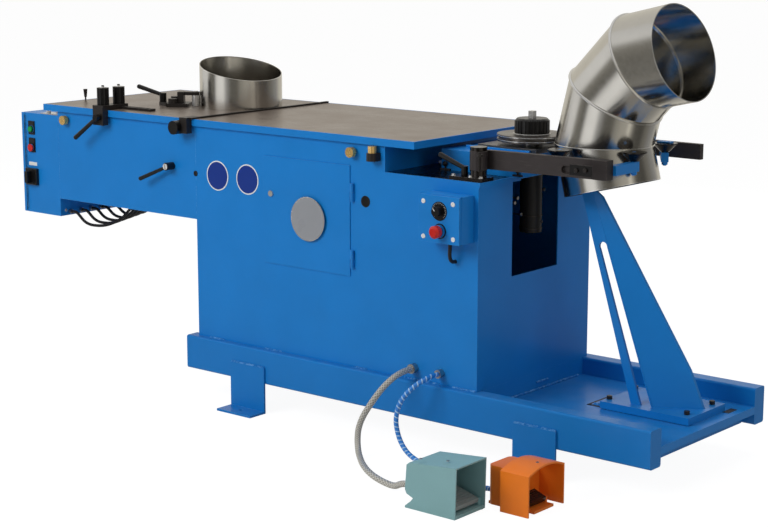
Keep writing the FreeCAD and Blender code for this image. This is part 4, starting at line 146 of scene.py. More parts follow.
class StageSettings(bpy.types.PropertyGroup):
    camera_place: FloatVectorProperty(
        name="Camera", description="Camera place in the row frame", size=3,
        default=(3.6918, -4.7844, 1.7243), subtype="TRANSLATION", unit="LENGTH",
    )
    camera_turn: FloatProperty(
        name="Turn", description="Turn of the camera about the vertical", default=0.6929, unit="ROTATION"
    )
    camera_dip: FloatProperty(
        name="Dip", description="How far the camera looks down", default=0.1927, unit="ROTATION"
    )
    lens: FloatProperty(name="Lens", description="Focal length in mm", default=85.37, min=1.0)
    key_power: amount_prop("Key", "Power of the key lamp", 150.0)
    fill_power: amount_prop("Fill", "Power of the fill lamp", 24.0)
    sky: amount_prop("Sky", "Level of the soft light all round", 0.26)


def colours():
    return bpy.context.scene.machine_colours


def sizes():
    return bpy.context.scene.machine_sizes


# Mesh helpers. A bmesh is drawn in millimetres and moved to the row frame when it is finished.

def row(point):
    return (Vector(point) - ORIGIN) * MILLIMETRE


def aim(axis):
    """Turn that takes the Z axis to the given axis."""
    return Vector(axis).to_track_quat("Z", "Y").to_matrix().to_4x4()


def frame_at(place, axis=Z_AXIS, spin=0.0):
    return Matrix.Translation(place) @ aim(axis) @ Matrix.Rotation(spin, 4, "Z")


def block(bm, low, high, matrix=None):
    low, high = Vector(low), Vector(high)
    size = Matrix.Diagonal((*(high - low), 1))
    place = Matrix.Translation((low + high) / 2) @ size
    if matrix is not None:
        place = matrix @ place
    bmesh.ops.create_cube(bm, size=1, matrix=place)


def rod(bm, start, axis, length, radius, sides=40):
    """Cylinder or prism from start along axis."""
    axis = Vector(axis).normalized()
    middle = Vector(start) + axis * length / 2
    bmesh.ops.create_cone(
        bm, cap_ends=True, segments=sides, radius1=radius, radius2=radius, depth=length,
        matrix=frame_at(middle, axis),
    )


def lathe(bm, profile, place, axis=Z_AXIS, steps=48):
    """Spins a profile of (radius, height) round an axis through place."""
    matrix = frame_at(place, axis)
    verts = [bm.verts.new(matrix @ Vector((radius, 0, height))) for radius, height in profile]
    edges = [bm.edges.new(pair) for pair in zip(verts, verts[1:])]
    if profile[0] == profile[-1]:
        bmesh.ops.remove_doubles(bm, verts=verts, dist=MERGE)
        verts = [v for v in verts if v.is_valid]
        edges = list({e for v in verts for e in v.link_edges})
    bmesh.ops.spin(
        bm, geom=verts + edges, cent=Vector(place), axis=Vector(axis).normalized(),
        angle=math.tau, steps=steps, use_merge=True,
    )
    poles = [v for v in bm.verts if (v.co - Vector(place)).cross(Vector(axis)).length < MERGE]
    bmesh.ops.remove_doubles(bm, verts=poles, dist=MERGE)


def ball(bm, place, radius):
    bmesh.ops.create_uvsphere(bm, u_segments=24, v_segments=14, radius=radius, matrix=frame_at(place))


def trim(bm, point, normal, closed=True):
    """Takes away what lies beyond a plane, and closes the cut."""
    everything = bm.verts[:] + bm.edges[:] + bm.faces[:]
    bmesh.ops.bisect_plane(bm, geom=everything, plane_co=point, plane_no=normal, clear_outer=True)
    if closed:
        bmesh.ops.holes_fill(bm, edges=[e for e in bm.edges if e.is_boundary], sides=0)


def edge_layer(bm):
    """The face values that the finishes read: wear at the edges, with painted highlight on the blue paint's
    edges, the weld beads and the duct's beads and rims.
    """
    return bm.faces.layers.float.get("edge") or bm.faces.layers.float.new("edge")


def mark_painted_highlight(bm):
    """Marks every face for the lighter edge colour, used here as painted highlight on the weld beads and on
    the duct's beads and rims.
    """
    layer = edge_layer(bm)
    for face in bm.faces:
        face[layer] = 1.0


def round_edges(bm, width, segments=2, least=math.radians(30)):
    """Rounds the sharp edges and marks the faces made for the lighter edge colour: edge wear, and on the
    blue paint partly a painted highlight.
    """
    layer = edge_layer(bm)
    bm.normal_update()
    sharp = [
        e for e in bm.edges
        if len(e.link_faces) == 2 and e.calc_face_angle(0) > least and e.calc_length() > MERGE
    ]
    made = bmesh.ops.bevel(
        bm, geom=sharp, offset=width, segments=segments, profile=0.5, affect="EDGES",
        clamp_overlap=True, material=-1,
    )
    for face in made["faces"]:
        face[layer] = 1.0


def mesh_of(bm, name):
    mesh = bpy.data.meshes.new(name)
    bm.to_mesh(mesh)
    bm.free()
    return mesh


def finish_piece(bm, name, body, look, outward=True, **finish):
    """Moves the drawn bmesh to the row frame and hangs it on its body."""
    bmesh.ops.transform(bm, matrix=Matrix.Scale(MILLIMETRE, 4) @ Matrix.Translation(-ORIGIN), verts=bm.verts)
    if outward:
        bmesh.ops.recalc_face_normals(bm, faces=bm.faces)
    return place_mesh(mesh_of(bm, name), name, body, look, **finish)


def place_mesh(mesh, name, body, look, replaces=(), sharp=40, weighted=True):
    for polygon in mesh.polygons:
        polygon.use_smooth = True
    mesh.set_sharp_from_angle(angle=math.radians(sharp))
    mesh.materials.append(LOOKS[look])
    piece = bpy.data.objects.new(name, mesh)
    bpy.context.scene.collection.objects.link(piece)
    if weighted:
        normals = piece.modifiers.new("Face weighted normals", "WEIGHTED_NORMAL")
        normals.keep_sharp = True
    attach(piece, body)
    if replaces:
        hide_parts(*replaces)
    return piece


def drawn_copy(node):
    """A merged copy of a CAD node in drawing millimetres, with its flat faces joined."""
    bm = bmesh.new()
    bm.from_mesh(frame["nodes"][node].data)
    back = Matrix.Translation(ORIGIN) @ Matrix.Scale(1 / MILLIMETRE, 4)
    bmesh.ops.transform(bm, matrix=back, verts=bm.verts)
    bmesh.ops.remove_doubles(bm, verts=bm.verts, dist=MERGE)
    bmesh.ops.dissolve_limit(
        bm, angle_limit=math.radians(0.5), verts=bm.verts, edges=bm.edges, use_dissolve_boundaries=False
    )
    return bm


def body_of(node):
    return frame["nodes"][node]["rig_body"]


def add_piece(name, body, look, draw, **finish):
    """A new piece from a function that draws it in a bmesh."""
    bm = bmesh.new()
    draw(bm)
    return finish_piece(bm, name, body, look, **finish)


def slotted_head(bm, place, axis, radius, height, spin=0.6):
    """Screw head with a cut slot."""
    matrix = frame_at(place, axis, spin)
    cut = radius * 0.16
    profile = [
        (0, -SINK), (radius, -SINK), (radius, height * 0.5), (radius * 0.82, height * 0.9), (0, height),
    ]
    for side in (-1, 1):
        half = bmesh.new()
        lathe(half, profile, (0, 0, 0), Z_AXIS, 24)
        trim(half, (0, side * cut, 0), (0, -side, 0))
        bmesh.ops.transform(half, matrix=matrix, verts=half.verts)
        join(bm, half)
    block(bm, (-radius * 0.95, -cut, -SINK), (radius * 0.95, cut, height * 0.35), matrix)


def join(bm, other):
    """Adds another bmesh to this one."""
    mesh = mesh_of(other, "joined")
    bm.from_mesh(mesh)
    bpy.data.meshes.remove(mesh)


def hex_head(bm, place, axis, across, height, spin=0.3):
    """Hexagon head or nut with a turned crown."""
    radius = across / 2 / math.cos(math.pi / 6)
    place, axis = Vector(place), Vector(axis).normalized()
    made = bmesh.ops.create_cone(
        bm, cap_ends=True, segments=6, radius1=radius, radius2=radius, depth=height + SINK,
        matrix=frame_at(place + axis * (height - SINK) / 2, axis, spin),
    )["verts"]
    rims = {e for v in made for e in v.link_edges if (e.verts[0].co - e.verts[1].co).length < radius * 1.1}
    top = [e for e in rims if min((v.co - place).dot(axis) for v in e.verts) > height - 0.1]
    bmesh.ops.bevel(bm, geom=top, offset=height * 0.14, segments=1, profile=0.5, affect="EDGES", material=-1)


def weld(bm, start, end, width):
    """Rippled weld bead from start to end, as a row of flattened drops."""
    start, end = Vector(start), Vector(end)
    run = end - start
    way = run.normalized()
    step, flatness = width * 0.42, 0.55
    count = max(2, int(run.length / step))
    for k in range(count + 1):
        swell = 1.0 + 0.16 * math.sin(k * 2.3) + 0.10 * math.sin(k * 5.1)
        matrix = frame_at(start + run * k / count, way) @ Matrix.Diagonal((swell, swell, flatness, 1))
        bmesh.ops.create_uvsphere(bm, u_segments=8, v_segments=6, radius=width / 2, matrix=matrix)
    # The whole bead takes the lighter edge colour: a painted highlight along the weld.
    mark_painted_highlight(bm)


# Node groups: each puts out colours, masks or heights that vary over the surface.

GROUPS = {}
LOOKS = {}
WHITE = (1, 1, 1, 1)
DUST_COLOUR = (0.55, 0.52, 0.47, 1)


class Nodes:
    """Short hand for adding and wiring shader nodes."""

    def __init__(self, tree):
        self.tree = tree

    def add(self, kind, values=None, **settings):
        node = self.tree.nodes.new(kind)
        for key, value in settings.items():
            setattr(node, key, value)
        self.fill(node, values or {})
        return node

    def fill(self, node, values):
        for key, value in values.items():
            self.feed(value, node.inputs[key])

    def feed(self, value, socket):
        if isinstance(value, bpy.types.NodeSocket):
            self.tree.links.new(value, socket)
        else:
            socket.default_value = value

    def math(self, operation, a, b=0.0, clamp=False):
        node = self.add("ShaderNodeMath", {0: a, 1: b}, operation=operation, use_clamp=clamp)
        return node.outputs[0]

    def times(self, a, b, clamp=False):
        return self.math("MULTIPLY", a, b, clamp)

    def plus(self, a, b):
        return self.math("ADD", a, b)

    def vector_math(self, operation, values):
        return self.add("ShaderNodeVectorMath", values, operation=operation).outputs[0]

    def ramp(self, value, low, high, start=0.0, end=1.0):
        node = self.add(
            "ShaderNodeMapRange",
            {"Value": value, "From Min": low, "From Max": high, "To Min": start, "To Max": end},
        )
        return node.outputs["Result"]

    def mix(self, share, a, b):
        return self.add("ShaderNodeMix", {0: share, 6: a, 7: b}, data_type="RGBA").outputs[2]

    def noise(self, vector, scale, detail=3.0, rough=0.55):
        node = self.add(
            "ShaderNodeTexNoise", {"Vector": vector, "Scale": scale, "Detail": detail, "Roughness": rough}
        )
        return node.outputs["Fac"]


def new_group(name, inputs, outputs):
    """A node group with named sockets, and short hand for its inside."""
    tree = bpy.data.node_groups.new(name, "ShaderNodeTree")
    kinds = {"vector": "NodeSocketVector", "colour": "NodeSocketColor", "value": "NodeSocketFloat"}
    for label, kind, default in inputs:
        socket = tree.interface.new_socket(name=label, in_out="INPUT", socket_type=kinds[kind])
        if default is not None:
            socket.default_value = default
    for label, kind in outputs:
        tree.interface.new_socket(name=label, in_out="OUTPUT", socket_type=kinds[kind])
    start = tree.nodes.new("NodeGroupInput")
    end = tree.nodes.new("NodeGroupOutput")
    return Nodes(tree), start.outputs, end.inputs


def wear_group():
    """Colour of a dusty finish: slow mottle, lighter edges that are edge wear and on the blue paint partly
    painted highlight, and dust on what faces up.
    """
    n, given, out = new_group(
        "Wear, edge highlight and dust",
        [
            ("Vector", "vector", None), ("Base", "colour", (0.5, 0.5, 0.5, 1)),
            ("Edge wear and highlight", "colour", (0.6, 0.6, 0.6, 1)), ("Mottle", "value", 0.08),
            ("Wear", "value", 0.5), ("Dust", "value", 0.1), ("Scale", "value", 6.0),
        ],
        [("Colour", "colour"), ("Worn mask", "value"), ("Dust mask", "value"), ("Mottle mask", "value")],
    )
    vector = given["Vector"]
    slow = n.noise(vector, given["Scale"], 4.0, 0.6)
    shift = n.times(n.math("SUBTRACT", slow, 0.5), n.times(given["Mottle"], 4.0))
    toned = n.vector_math("SCALE", {0: given["Base"], "Scale": n.plus(shift, 1.0)})
    edge = n.add("ShaderNodeAttribute", attribute_name="edge").outputs["Fac"]
    # The lighter edge spots are spread wide, so on the blue paint they read as painted highlight along the
    # edges as well as chips.
    chips = n.ramp(n.noise(vector, 90.0, 4.0, 0.7), 0.46, 0.60)
    edge_wear_and_highlight = n.times(n.times(edge, chips), given["Wear"], clamp=True)
    up = n.add("ShaderNodeSeparateXYZ", {0: n.add("ShaderNodeNewGeometry").outputs["Normal"]}).outputs["Z"]
    drift = n.ramp(n.noise(vector, 14.0, 5.0, 0.65), 0.35, 0.75)
    dust = n.times(n.times(n.ramp(up, 0.5, 1.0), drift), given["Dust"], clamp=True)
    rubbed_and_highlit = n.mix(edge_wear_and_highlight, toned, given["Edge wear and highlight"])
    n.feed(n.mix(dust, rubbed_and_highlit, DUST_COLOUR), out["Colour"])
    n.feed(edge_wear_and_highlight, out["Worn mask"])
    n.feed(dust, out["Dust mask"])
    n.feed(slow, out["Mottle mask"])
    return n.tree


def peel_group():
    """Height of the fine orange skin of sprayed paint and moulded plastic."""
    n, given, out = new_group(
        "Orange skin", [("Vector", "vector", None), ("Scale", "value", 260.0)], [("Height", "value")]
    )
    fine = n.noise(given["Vector"], given["Scale"], 2.0, 0.5)
    broad = n.noise(given["Vector"], n.times(given["Scale"], 0.12), 2.0, 0.5)
    n.feed(n.plus(fine, n.times(broad, 0.8)), out["Height"])
    return n.tree


def brush_group():
    """Fine lines drawn out along one direction, with a few deeper scratches."""
    n, given, out = new_group(
        "Brushed lines",
        [("Vector", "vector", None), ("Stretch", "vector", (20, 600, 600)), ("Scratches", "value", 0.4)],
        [("Lines", "value"), ("Scratch mask", "value")],
    )
    drawn = n.vector_math("MULTIPLY", {0: given["Vector"], 1: given["Stretch"]})
    lines = n.noise(drawn, 1.0, 3.0, 0.6)
    turned = n.add(
        "ShaderNodeMapping", {"Vector": given["Vector"], "Rotation": (0.1, 0.2, 0.9), "Scale": (9, 260, 260)}
    ).outputs[0]
    scratch = n.ramp(n.noise(turned, 1.0, 2.0, 0.5), 0.66, 0.72)
    n.feed(lines, out["Lines"])
    n.feed(n.times(scratch, given["Scratches"]), out["Scratch mask"])
    return n.tree


def spangle_group():
    """Crystal patches of hot dip zinc."""
    n, given, out = new_group(
        "Zinc spangle", [("Vector", "vector", None), ("Scale", "value", 110.0)], [("Patch", "value")]
    )
    warp = n.add("ShaderNodeTexNoise", {"Vector": given["Vector"], "Scale": 40.0, "Detail": 2.0})
    bent = n.vector_math("SCALE", {0: warp.outputs["Color"], "Scale": 0.02})
    moved = n.vector_math("ADD", {0: given["Vector"], 1: bent})
    cells = n.add("ShaderNodeTexVoronoi", {"Vector": moved, "Scale": given["Scale"]}).outputs["Color"]
    n.feed(n.add("ShaderNodeSeparateColor", {0: cells}).outputs[0], out["Patch"])
    return n.tree


def make_groups():
    for label, build in (
        ("wear", wear_group), ("peel", peel_group), ("brush", brush_group), ("spangle", spangle_group)
    ):
        GROUPS[label] = build()


def start_look(name):
    """An empty look: its node short hand, its shader and its object coordinates."""
    look = bpy.data.materials.new(name)
    look.use_nodes = True
    LOOKS[name] = look
    nodes = Nodes(look.node_tree)
    return nodes, look.node_tree.nodes["Principled BSDF"], nodes.add("ShaderNodeTexCoord").outputs["Object"]


def place_group(nodes, label, values):
    return nodes.add("ShaderNodeGroup", values, node_tree=GROUPS[label]).outputs


def wear_highlight_and_dust(nodes, vector, base, edge_wear_and_highlight, mottle, wear, dust, scale=6.0):
    return place_group(nodes, "wear", {
        "Vector": vector, "Base": (*base, 1), "Edge wear and highlight": (*edge_wear_and_highlight, 1), "Mottle": mottle,
        "Wear": wear, "Dust": dust, "Scale": scale,
    })


def bump(nodes, shader, height, strength, distance):
    node = nodes.add("ShaderNodeBump", {"Height": height, "Strength": strength, "Distance": distance})
    nodes.feed(node.outputs["Normal"], shader.inputs["Normal"])


def painted(name, base, edge_wear_and_highlight, rough=0.34, coat=0.10, wear=0.5, dust=0.06, mottle=0.05, skin=260.0,
            depth=0.25):
    """Sprayed enamel over steel, or smooth moulded plastic."""
    n, shader, vector = start_look(name)
    finish = wear_highlight_and_dust(n, vector, base, edge_wear_and_highlight, mottle, wear, dust)
    smears = n.ramp(n.noise(vector, 9.0, 4.0, 0.6), 0.3, 0.7, rough - 0.05, rough + 0.07)
    n.fill(shader, {
        "Base Color": finish["Colour"], "Roughness": n.plus(smears, n.times(finish["Dust mask"], 0.4)),
        "Coat Weight": coat, "Coat Roughness": 0.12, "Specular IOR Level": 0.28,
    })
    skin_height = place_group(n, "peel", {"Vector": vector, "Scale": skin})["Height"]
    bump(n, shader, skin_height, depth, 0.0003)


def steel(name, base, rough, stretch, metal=1.0, wear=0.4, dust=0.04, mottle=0.08, scratches=0.4, depth=0.15,
          edge_wear_and_highlight=(0.75, 0.73, 0.7), scale=12.0):
    """Bare, oiled or darkened steel with drawn out tool lines."""
    n, shader, vector = start_look(name)
    finish = wear_highlight_and_dust(n, vector, base, edge_wear_and_highlight, mottle, wear, dust, scale)
    lines = place_group(n, "brush", {"Vector": vector, "Stretch": stretch, "Scratches": scratches})
    level = n.ramp(lines["Lines"], 0.3, 0.7, rough - 0.07, rough + 0.09)
    stains = n.times(n.ramp(finish["Mottle mask"], 0.4, 0.7), 0.12)
    n.fill(shader, {
        "Base Color": n.mix(n.times(lines["Scratch mask"], 0.5), finish["Colour"], (*edge_wear_and_highlight, 1)),
        "Roughness": n.plus(level, stains), "Metallic": metal,
    })
    height = n.math("SUBTRACT", lines["Lines"], n.times(lines["Scratch mask"], 0.8))
    bump(n, shader, height, depth, 0.0002)


def zinc(name, base, rough):
    """Galvanised sheet: faint pale patches and rolled lines over bright metal, along the sheet's own map,
    and a near white painted highlight on the seam beads and rims.
    """
    n, shader, vector = start_look(name)
    bead_highlight_colour = (0.95, 0.94, 0.92)
    finish = wear_highlight_and_dust(n, vector, base, bead_highlight_colour, 0.05, 0.0, 0.0, 9.0)
    # Painted highlight: the marked bead and rim faces go three quarters of the way to near white.
    lip = n.times(n.add("ShaderNodeAttribute", attribute_name="edge").outputs["Fac"], 0.75)
    sheet = n.add("ShaderNodeUVMap", uv_map="UVMap").outputs[0]
    patch = place_group(n, "spangle", {"Vector": vector, "Scale": 130.0})["Patch"]
    lines = place_group(n, "brush", {"Vector": sheet, "Stretch": (420, 7, 1), "Scratches": 0.12})
    sheet_colour = n.mix(n.times(patch, 0.05), finish["Colour"], (0.80, 0.80, 0.78, 1))
    n.fill(shader, {
        "Base Color": n.mix(lip, sheet_colour, (*bead_highlight_colour, 1)), "Metallic": 1.0,
        "Roughness": n.ramp(patch, 0.0, 1.0, rough - 0.01, rough + 0.02),
    })
    bump(n, shader, lines["Lines"], 0.03, 0.0001)


def hose_look(name, base, light, metal, rough, stripe_along, stripe_round, crossed):
    """Hose wall whose strands or spiral follow the hose's own map."""
    n, shader, _ = start_look(name)
    uv = n.add("ShaderNodeUVMap", uv_map="UVMap").outputs[0]
    parts = n.add("ShaderNodeSeparateXYZ", {0: uv}).outputs
    along = n.times(parts["X"], stripe_along)
    around = n.times(parts["Y"], stripe_round)

    def wave(value):
        return n.times(n.math("PINGPONG", value, 0.5), 2.0)

    first = wave(n.plus(along, around))
    second = wave(n.math("SUBTRACT", along, around)) if crossed else first
    strand = n.math("MAXIMUM", first, second)
    mask = n.ramp(strand, 0.62, 0.92)
    n.fill(shader, {
        "Base Color": n.mix(mask, (*base, 1), (*light, 1)), "Metallic": metal,
        "Roughness": n.ramp(mask, 0.0, 1.0, rough, rough + 0.12), "Coat Weight": 0.0 if metal else 0.5,
    })
    bump(n, shader, strand, 0.5, 0.0006)


def make_looks():
    c = colours()
    bright = (0.62, 0.60, 0.57)
    # The lighter blues on the edges of blue_paint and rail_blue are partly chipped paint and partly painted
    # highlight along the rounded edges and weld beads.
    painted("blue_paint", c.paint, (0.16, 0.44, 0.80), wear=0.9)
    painted("rail_blue", c.rail, (0.15, 0.42, 0.78), wear=0.9, rough=0.36, dust=0.08)
    painted("pedal_green", c.pedal, (0.45, 0.60, 0.60), rough=0.42, skin=150.0, depth=0.5, wear=0.6)
    painted("pedal_orange", c.switch, (0.95, 0.45, 0.16), rough=0.33, coat=0.2, skin=200.0)
    painted("black_plastic", (0.006, 0.0055, 0.0055), (0.04, 0.04, 0.04), rough=0.30, coat=0.12, skin=500.0,
            wear=0.6)
    painted("red_plastic", (0.560, 0.018, 0.012), (0.75, 0.10, 0.07), rough=0.22, coat=0.5, skin=600.0)
    painted("green_plastic", (0.010, 0.300, 0.060), (0.05, 0.5, 0.15), rough=0.22, coat=0.5, skin=600.0)
    painted("cable_black", (0.018, 0.017, 0.018), (0.05, 0.05, 0.05), rough=0.45, coat=0.0, skin=500.0)
    painted("motor_grey", (0.014, 0.013, 0.013), (0.12, 0.12, 0.12), rough=0.45, coat=0.05, skin=180.0,
            dust=0.04)
    painted("label_white", (0.80, 0.80, 0.78), (0.7, 0.7, 0.7), rough=0.4, mottle=0.02)
    painted("plate_grey", (0.30, 0.31, 0.33), (0.5, 0.5, 0.5), rough=0.30, coat=0.3, mottle=0.03)
    painted("sign_blue", c.sign, (0.05, 0.1, 0.4), rough=0.35, coat=0.0, mottle=0.02, wear=0.0, dust=0.0)
    steel("table_steel", c.table, 0.30, (14, 420, 420), metal=0.55, mottle=0.10, scratches=0.30, dust=0.10,
          scale=7.0, edge_wear_and_highlight=(0.42, 0.37, 0.32))
    steel("black_steel", c.oxide, 0.36, (60, 60, 400), metal=0.55, wear=0.6, edge_wear_and_highlight=(0.16, 0.145, 0.13),
          scratches=0.15)
    steel("bare_steel", c.bright, 0.28, (60, 60, 500))
    steel("turned_steel", (0.16, 0.145, 0.13), 0.30, (500, 500, 40), edge_wear_and_highlight=bright)
    steel("tread_metal", (0.36, 0.40, 0.40), 0.42, (80, 400, 400), metal=0.35, edge_wear_and_highlight=(0.6, 0.62, 0.62))
    steel("roll_steel", (0.20, 0.18, 0.165), 0.30, (500, 500, 60), edge_wear_and_highlight=bright, scratches=0.3)
    steel("dark_chrome", (0.045, 0.040, 0.038), 0.20, (80, 80, 300), edge_wear_and_highlight=(0.4, 0.38, 0.36), scratches=0.2)
    steel("arm_steel", (0.050, 0.042, 0.041), 0.42, (30, 300, 300), metal=0.45, wear=0.5,
          edge_wear_and_highlight=(0.24, 0.21, 0.19), scratches=0.2, dust=0.06)
    steel("chrome", (0.74, 0.73, 0.71), 0.12, (80, 80, 300), metal=0.72, scratches=0.2, depth=0.05)
    steel("brass", (0.86, 0.56, 0.20), 0.22, (500, 60, 500), metal=0.68, edge_wear_and_highlight=(0.95, 0.78, 0.5))
    zinc("galvanised", c.zinc, 0.19)
    crossings = float(sizes().braid_crossings // 2)
    turns = BLUE_LENGTH / MILLIMETRE / sizes().spiral_pitch
    hose_look("hose_grey", (0.34, 0.325, 0.285), c.braid, 0.30, 0.36, 70.0, crossings, True)
    # The light colour on the blue hose's spiral is partly painted highlight, standing in for white glints
    # along the spiral.
    hose_look("hose_blue", c.hose, (0.45, 0.68, 0.92), 0.0, 0.16, turns, 1.0, False)


# Operators, one for each piece or group of like pieces.

class Stage(bpy.types.Operator):
    """Floor, soft studio lamps and the camera at the photograph's angle"""
    bl_idname = "elbow_machine.stage"
    bl_label = "Stage"

    # Direction in degrees, level and warmth of each panel or gap of the studio.
    PANELS = (
        (-180, 0.80, 0), (-152, 0.85, 0), (-143, 0.25, 1), (-126, 0.12, 1), (-117, 0.95, 0),
        (-98, 1.00, 0), (-87, 0.35, 0), (-74, 0.14, 1), (-58, 0.14, 1), (-46, 0.34, 1), (-30, 0.46, 1),
        (-19, 0.46, 1), (-12, 0.90, 1), (-5, 0.40, 1), (4, 0.10, 1), (26, 0.08, 1), (44, 0.20, 1),
        (66, 0.30, 0), (90, 0.62, 1), (120, 0.70, 1), (179, 0.70, 1),
    )
    OVERHEAD = (0.62, 0.62, 0.62, 1)
    UNDERNEATH = (0.30, 0.29, 0.27, 1)
    # Place, target, size, and the setting that gives the power with its share.
    LAMPS = {
        "key": ((-1.6, -4.6, 3.4), (0, 0, 0.7), (3.0, 2.2), "key_power", 1.0),
        "fill": ((4.6, -1.0, 2.6), (0, 0, 0.8), (2.4, 2.0), "fill_power", 1.0),
        "top": ((0.2, 0.6, 4.6), (0.2, 0, 0.8), (3.4, 2.4), "key_power", 0.35),
        "rear": ((-1.5, 4.6, 2.4), (0, 0, 0.8), (3.0, 2.0), "fill_power", 1.6),
    }
    FLOOR_RADIUS = 60.0
    # The floor's own grey lights the machine from below; the camera sees it near white.
    FLOOR_LIT = (0.72, 0.72, 0.72, 1)
    FLOOR_SEEN = (0.16, 0.16, 0.16, 1)
    FLOOR_GLOW = 0.94

    def execute(self, context):
        scene = context.scene
        stage = scene.stage_settings
        scene.view_settings.view_transform = "Standard"
        self.add_camera(scene, stage)
        self.add_floor(scene)
        for name, (place, target, size, setting, share) in self.LAMPS.items():
            self.add_lamp(scene, name, place, target, size, getattr(stage, setting) * share)
        self.add_world(scene, stage)
        return {"FINISHED"}

    def add_camera(self, scene, stage):
        data = bpy.data.cameras.new("Camera")
        data.lens = stage.lens
        data.clip_end = 100.0
        camera = bpy.data.objects.new("Camera", data)
        camera.location = stage.camera_place
        camera.rotation_euler = (math.pi / 2 - stage.camera_dip, 0.0, stage.camera_turn)
        scene.collection.objects.link(camera)
        scene.camera = camera

    def add_floor(self, scene):
        bm = bmesh.new()
        bmesh.ops.create_circle(bm, cap_ends=True, segments=64, radius=self.FLOOR_RADIUS)
        mesh = mesh_of(bm, "floor")
        floor = bpy.data.objects.new("floor", mesh)
        scene.collection.objects.link(floor)
        n, shader, _ = start_look("pale floor")
        seen = self.seen(n)
        n.fill(shader, {
            "Base Color": n.mix(seen, self.FLOOR_LIT, self.FLOOR_SEEN), "Roughness": 0.9,
            "Specular IOR Level": 0.0, "Emission Color": WHITE,
            "Emission Strength": n.times(seen, self.FLOOR_GLOW),
        })
        mesh.materials.append(LOOKS["pale floor"])
        floor.visible_glossy = False

    def seen(self, n):
        """One where the camera looks, straight or by mirror, and zero for light."""
        path = n.add("ShaderNodeLightPath").outputs
        glossy = n.math("MAXIMUM", path["Is Camera Ray"], path["Is Glossy Ray"])
        return n.math("MAXIMUM", glossy, path["Is Transmission Ray"])

    def add_lamp(self, scene, name, place, target, size, power):
        data = bpy.data.lights.new(name, "AREA")
        data.shape = "RECTANGLE"
        data.size, data.size_y = size
        data.energy = power
        lamp = bpy.data.objects.new(name, data)
        lamp.location = place
        way = Vector(target) - Vector(place)
        lamp.rotation_euler = way.to_track_quat("-Z", "Y").to_euler()
        lamp.visible_glossy = False
        scene.collection.objects.link(lamp)

    def add_world(self, scene, stage):
        world = bpy.data.worlds.new("studio")
        world.use_nodes = True
        n = Nodes(world.node_tree)
        mirrored = n.add("ShaderNodeLightPath").outputs["Is Glossy Ray"]
        n.fill(world.node_tree.nodes["Background"], {
            "Color": n.mix(mirrored, WHITE, self.panels(n)),
            "Strength": n.ramp(self.seen(n), 0.0, 1.0, stage.sky, 1.0),
        })
        scene.world = world

    def panels(self, n):
        """Bright panels and dark gaps of the studio, which only mirror-like metal shows."""
        way = n.add("ShaderNodeSeparateXYZ", {0: n.add("ShaderNodeTexCoord").outputs["Generated"]}).outputs
        turn = n.math("ARCTAN2", way["Y"], way["X"])
        ramp = n.add("ShaderNodeValToRGB", {"Fac": n.ramp(turn, -math.pi, math.pi)})
        ramp.color_ramp.interpolation = "EASE"
        stops = ramp.color_ramp.elements
        while len(stops) < len(self.PANELS):
            stops.new(0.5)
        for stop, (degrees, level, warmth) in zip(stops, self.PANELS):
            stop.position = (degrees + 180.0) / 360.0
            stop.color = (level, level * (1 - 0.04 * warmth), level * (1 - 0.14 * warmth), 1)
        above = n.mix(n.ramp(way["Z"], 0.45, 0.85), ramp.outputs["Color"], self.OVERHEAD)
        return n.mix(n.ramp(way["Z"], -0.55, -0.95), above, self.UNDERNEATH)


def route_curve(name, points):
    """One smooth open line whose control points are the route's."""
    data = bpy.data.curves.new(name, "CURVE")
    data.dimensions = "3D"
    data.resolution_u = 30
    spline = data.splines.new("NURBS")
    spline.points.add(len(points) - 1)
    for control, point in zip(spline.points, points):
        control.co = (*row(point), 1.0)
    spline.order_u = 3
    spline.use_endpoint_u = True
    return bpy.data.objects.new(name, data)


def line_of(curve):
    return [v.co.copy() for v in bpy.data.meshes.new_from_object(curve).vertices]


def hose_tube(name, points, diameter, look, node):
    """Mesh tube along the route's smooth line, with the line itself."""
    curve = route_curve(name + "_line", points)
    line = line_of(curve)
    curve.data.bevel_depth = diameter / 2 * MILLIMETRE
    curve.data.bevel_resolution = 12
    curve.data.use_fill_caps = True
    mesh = bpy.data.meshes.new_from_object(curve)
    mesh.name = name
    bpy.data.objects.remove(curve)
    return place_mesh(mesh, name, "root", look, (node,), weighted=False), line


class Hoses(bpy.types.Operator):
    """Braided grey hose and blue spiral hose, from the body to the pedals"""
    bl_idname = "elbow_machine.hoses"
    bl_label = "Hoses"

    def execute(self, context):
        for name, route, diameter, length, look, node in (
            ("braided_hose", GREY_ROUTE, 20.0, GREY_LENGTH, "hose_grey", "grey_hose"),
            ("spiral_hose", BLUE_ROUTE, 16.0, BLUE_LENGTH, "hose_blue", "blue_hose"),
        ):
            piece, line = hose_tube(name, route, diameter, look, node)
        return {"FINISHED"}


def soften(node, look, width, segments=2, least=30):
    """Stands in for a CAD node with its shape, its edges rounded."""
    bm = drawn_copy(node)
    round_edges(bm, width, segments, math.radians(least))
    finish_piece(bm, node + "_piece", body_of(node), look, replaces=(node,), outward=False)


class Casings(bpy.types.Operator):
    """Painted casings and frame, with softened edges"""
    bl_idname = "elbow_machine.casings"
    bl_label = "Casings"

    NODES = (
        "body_shell", "arm_box", "cabinet_shell", "cabinet_door", "access_door", "control_box",
        "column_frame", "deck_plate", "base_frame", "anchor_feet", "table_trim", "door_hinges",
    )
    RAILS = ("base_frame", "anchor_feet")
    OWN_EDGES = {"door_hinges": 0.5, "table_trim": 2.6}

    def execute(self, context):
        for node in self.NODES:
            look = "rail_blue" if node in self.RAILS else "blue_paint"
            soften(node, look, self.OWN_EDGES.get(node, sizes().sheet_edge), 3)
        return {"FINISHED"}


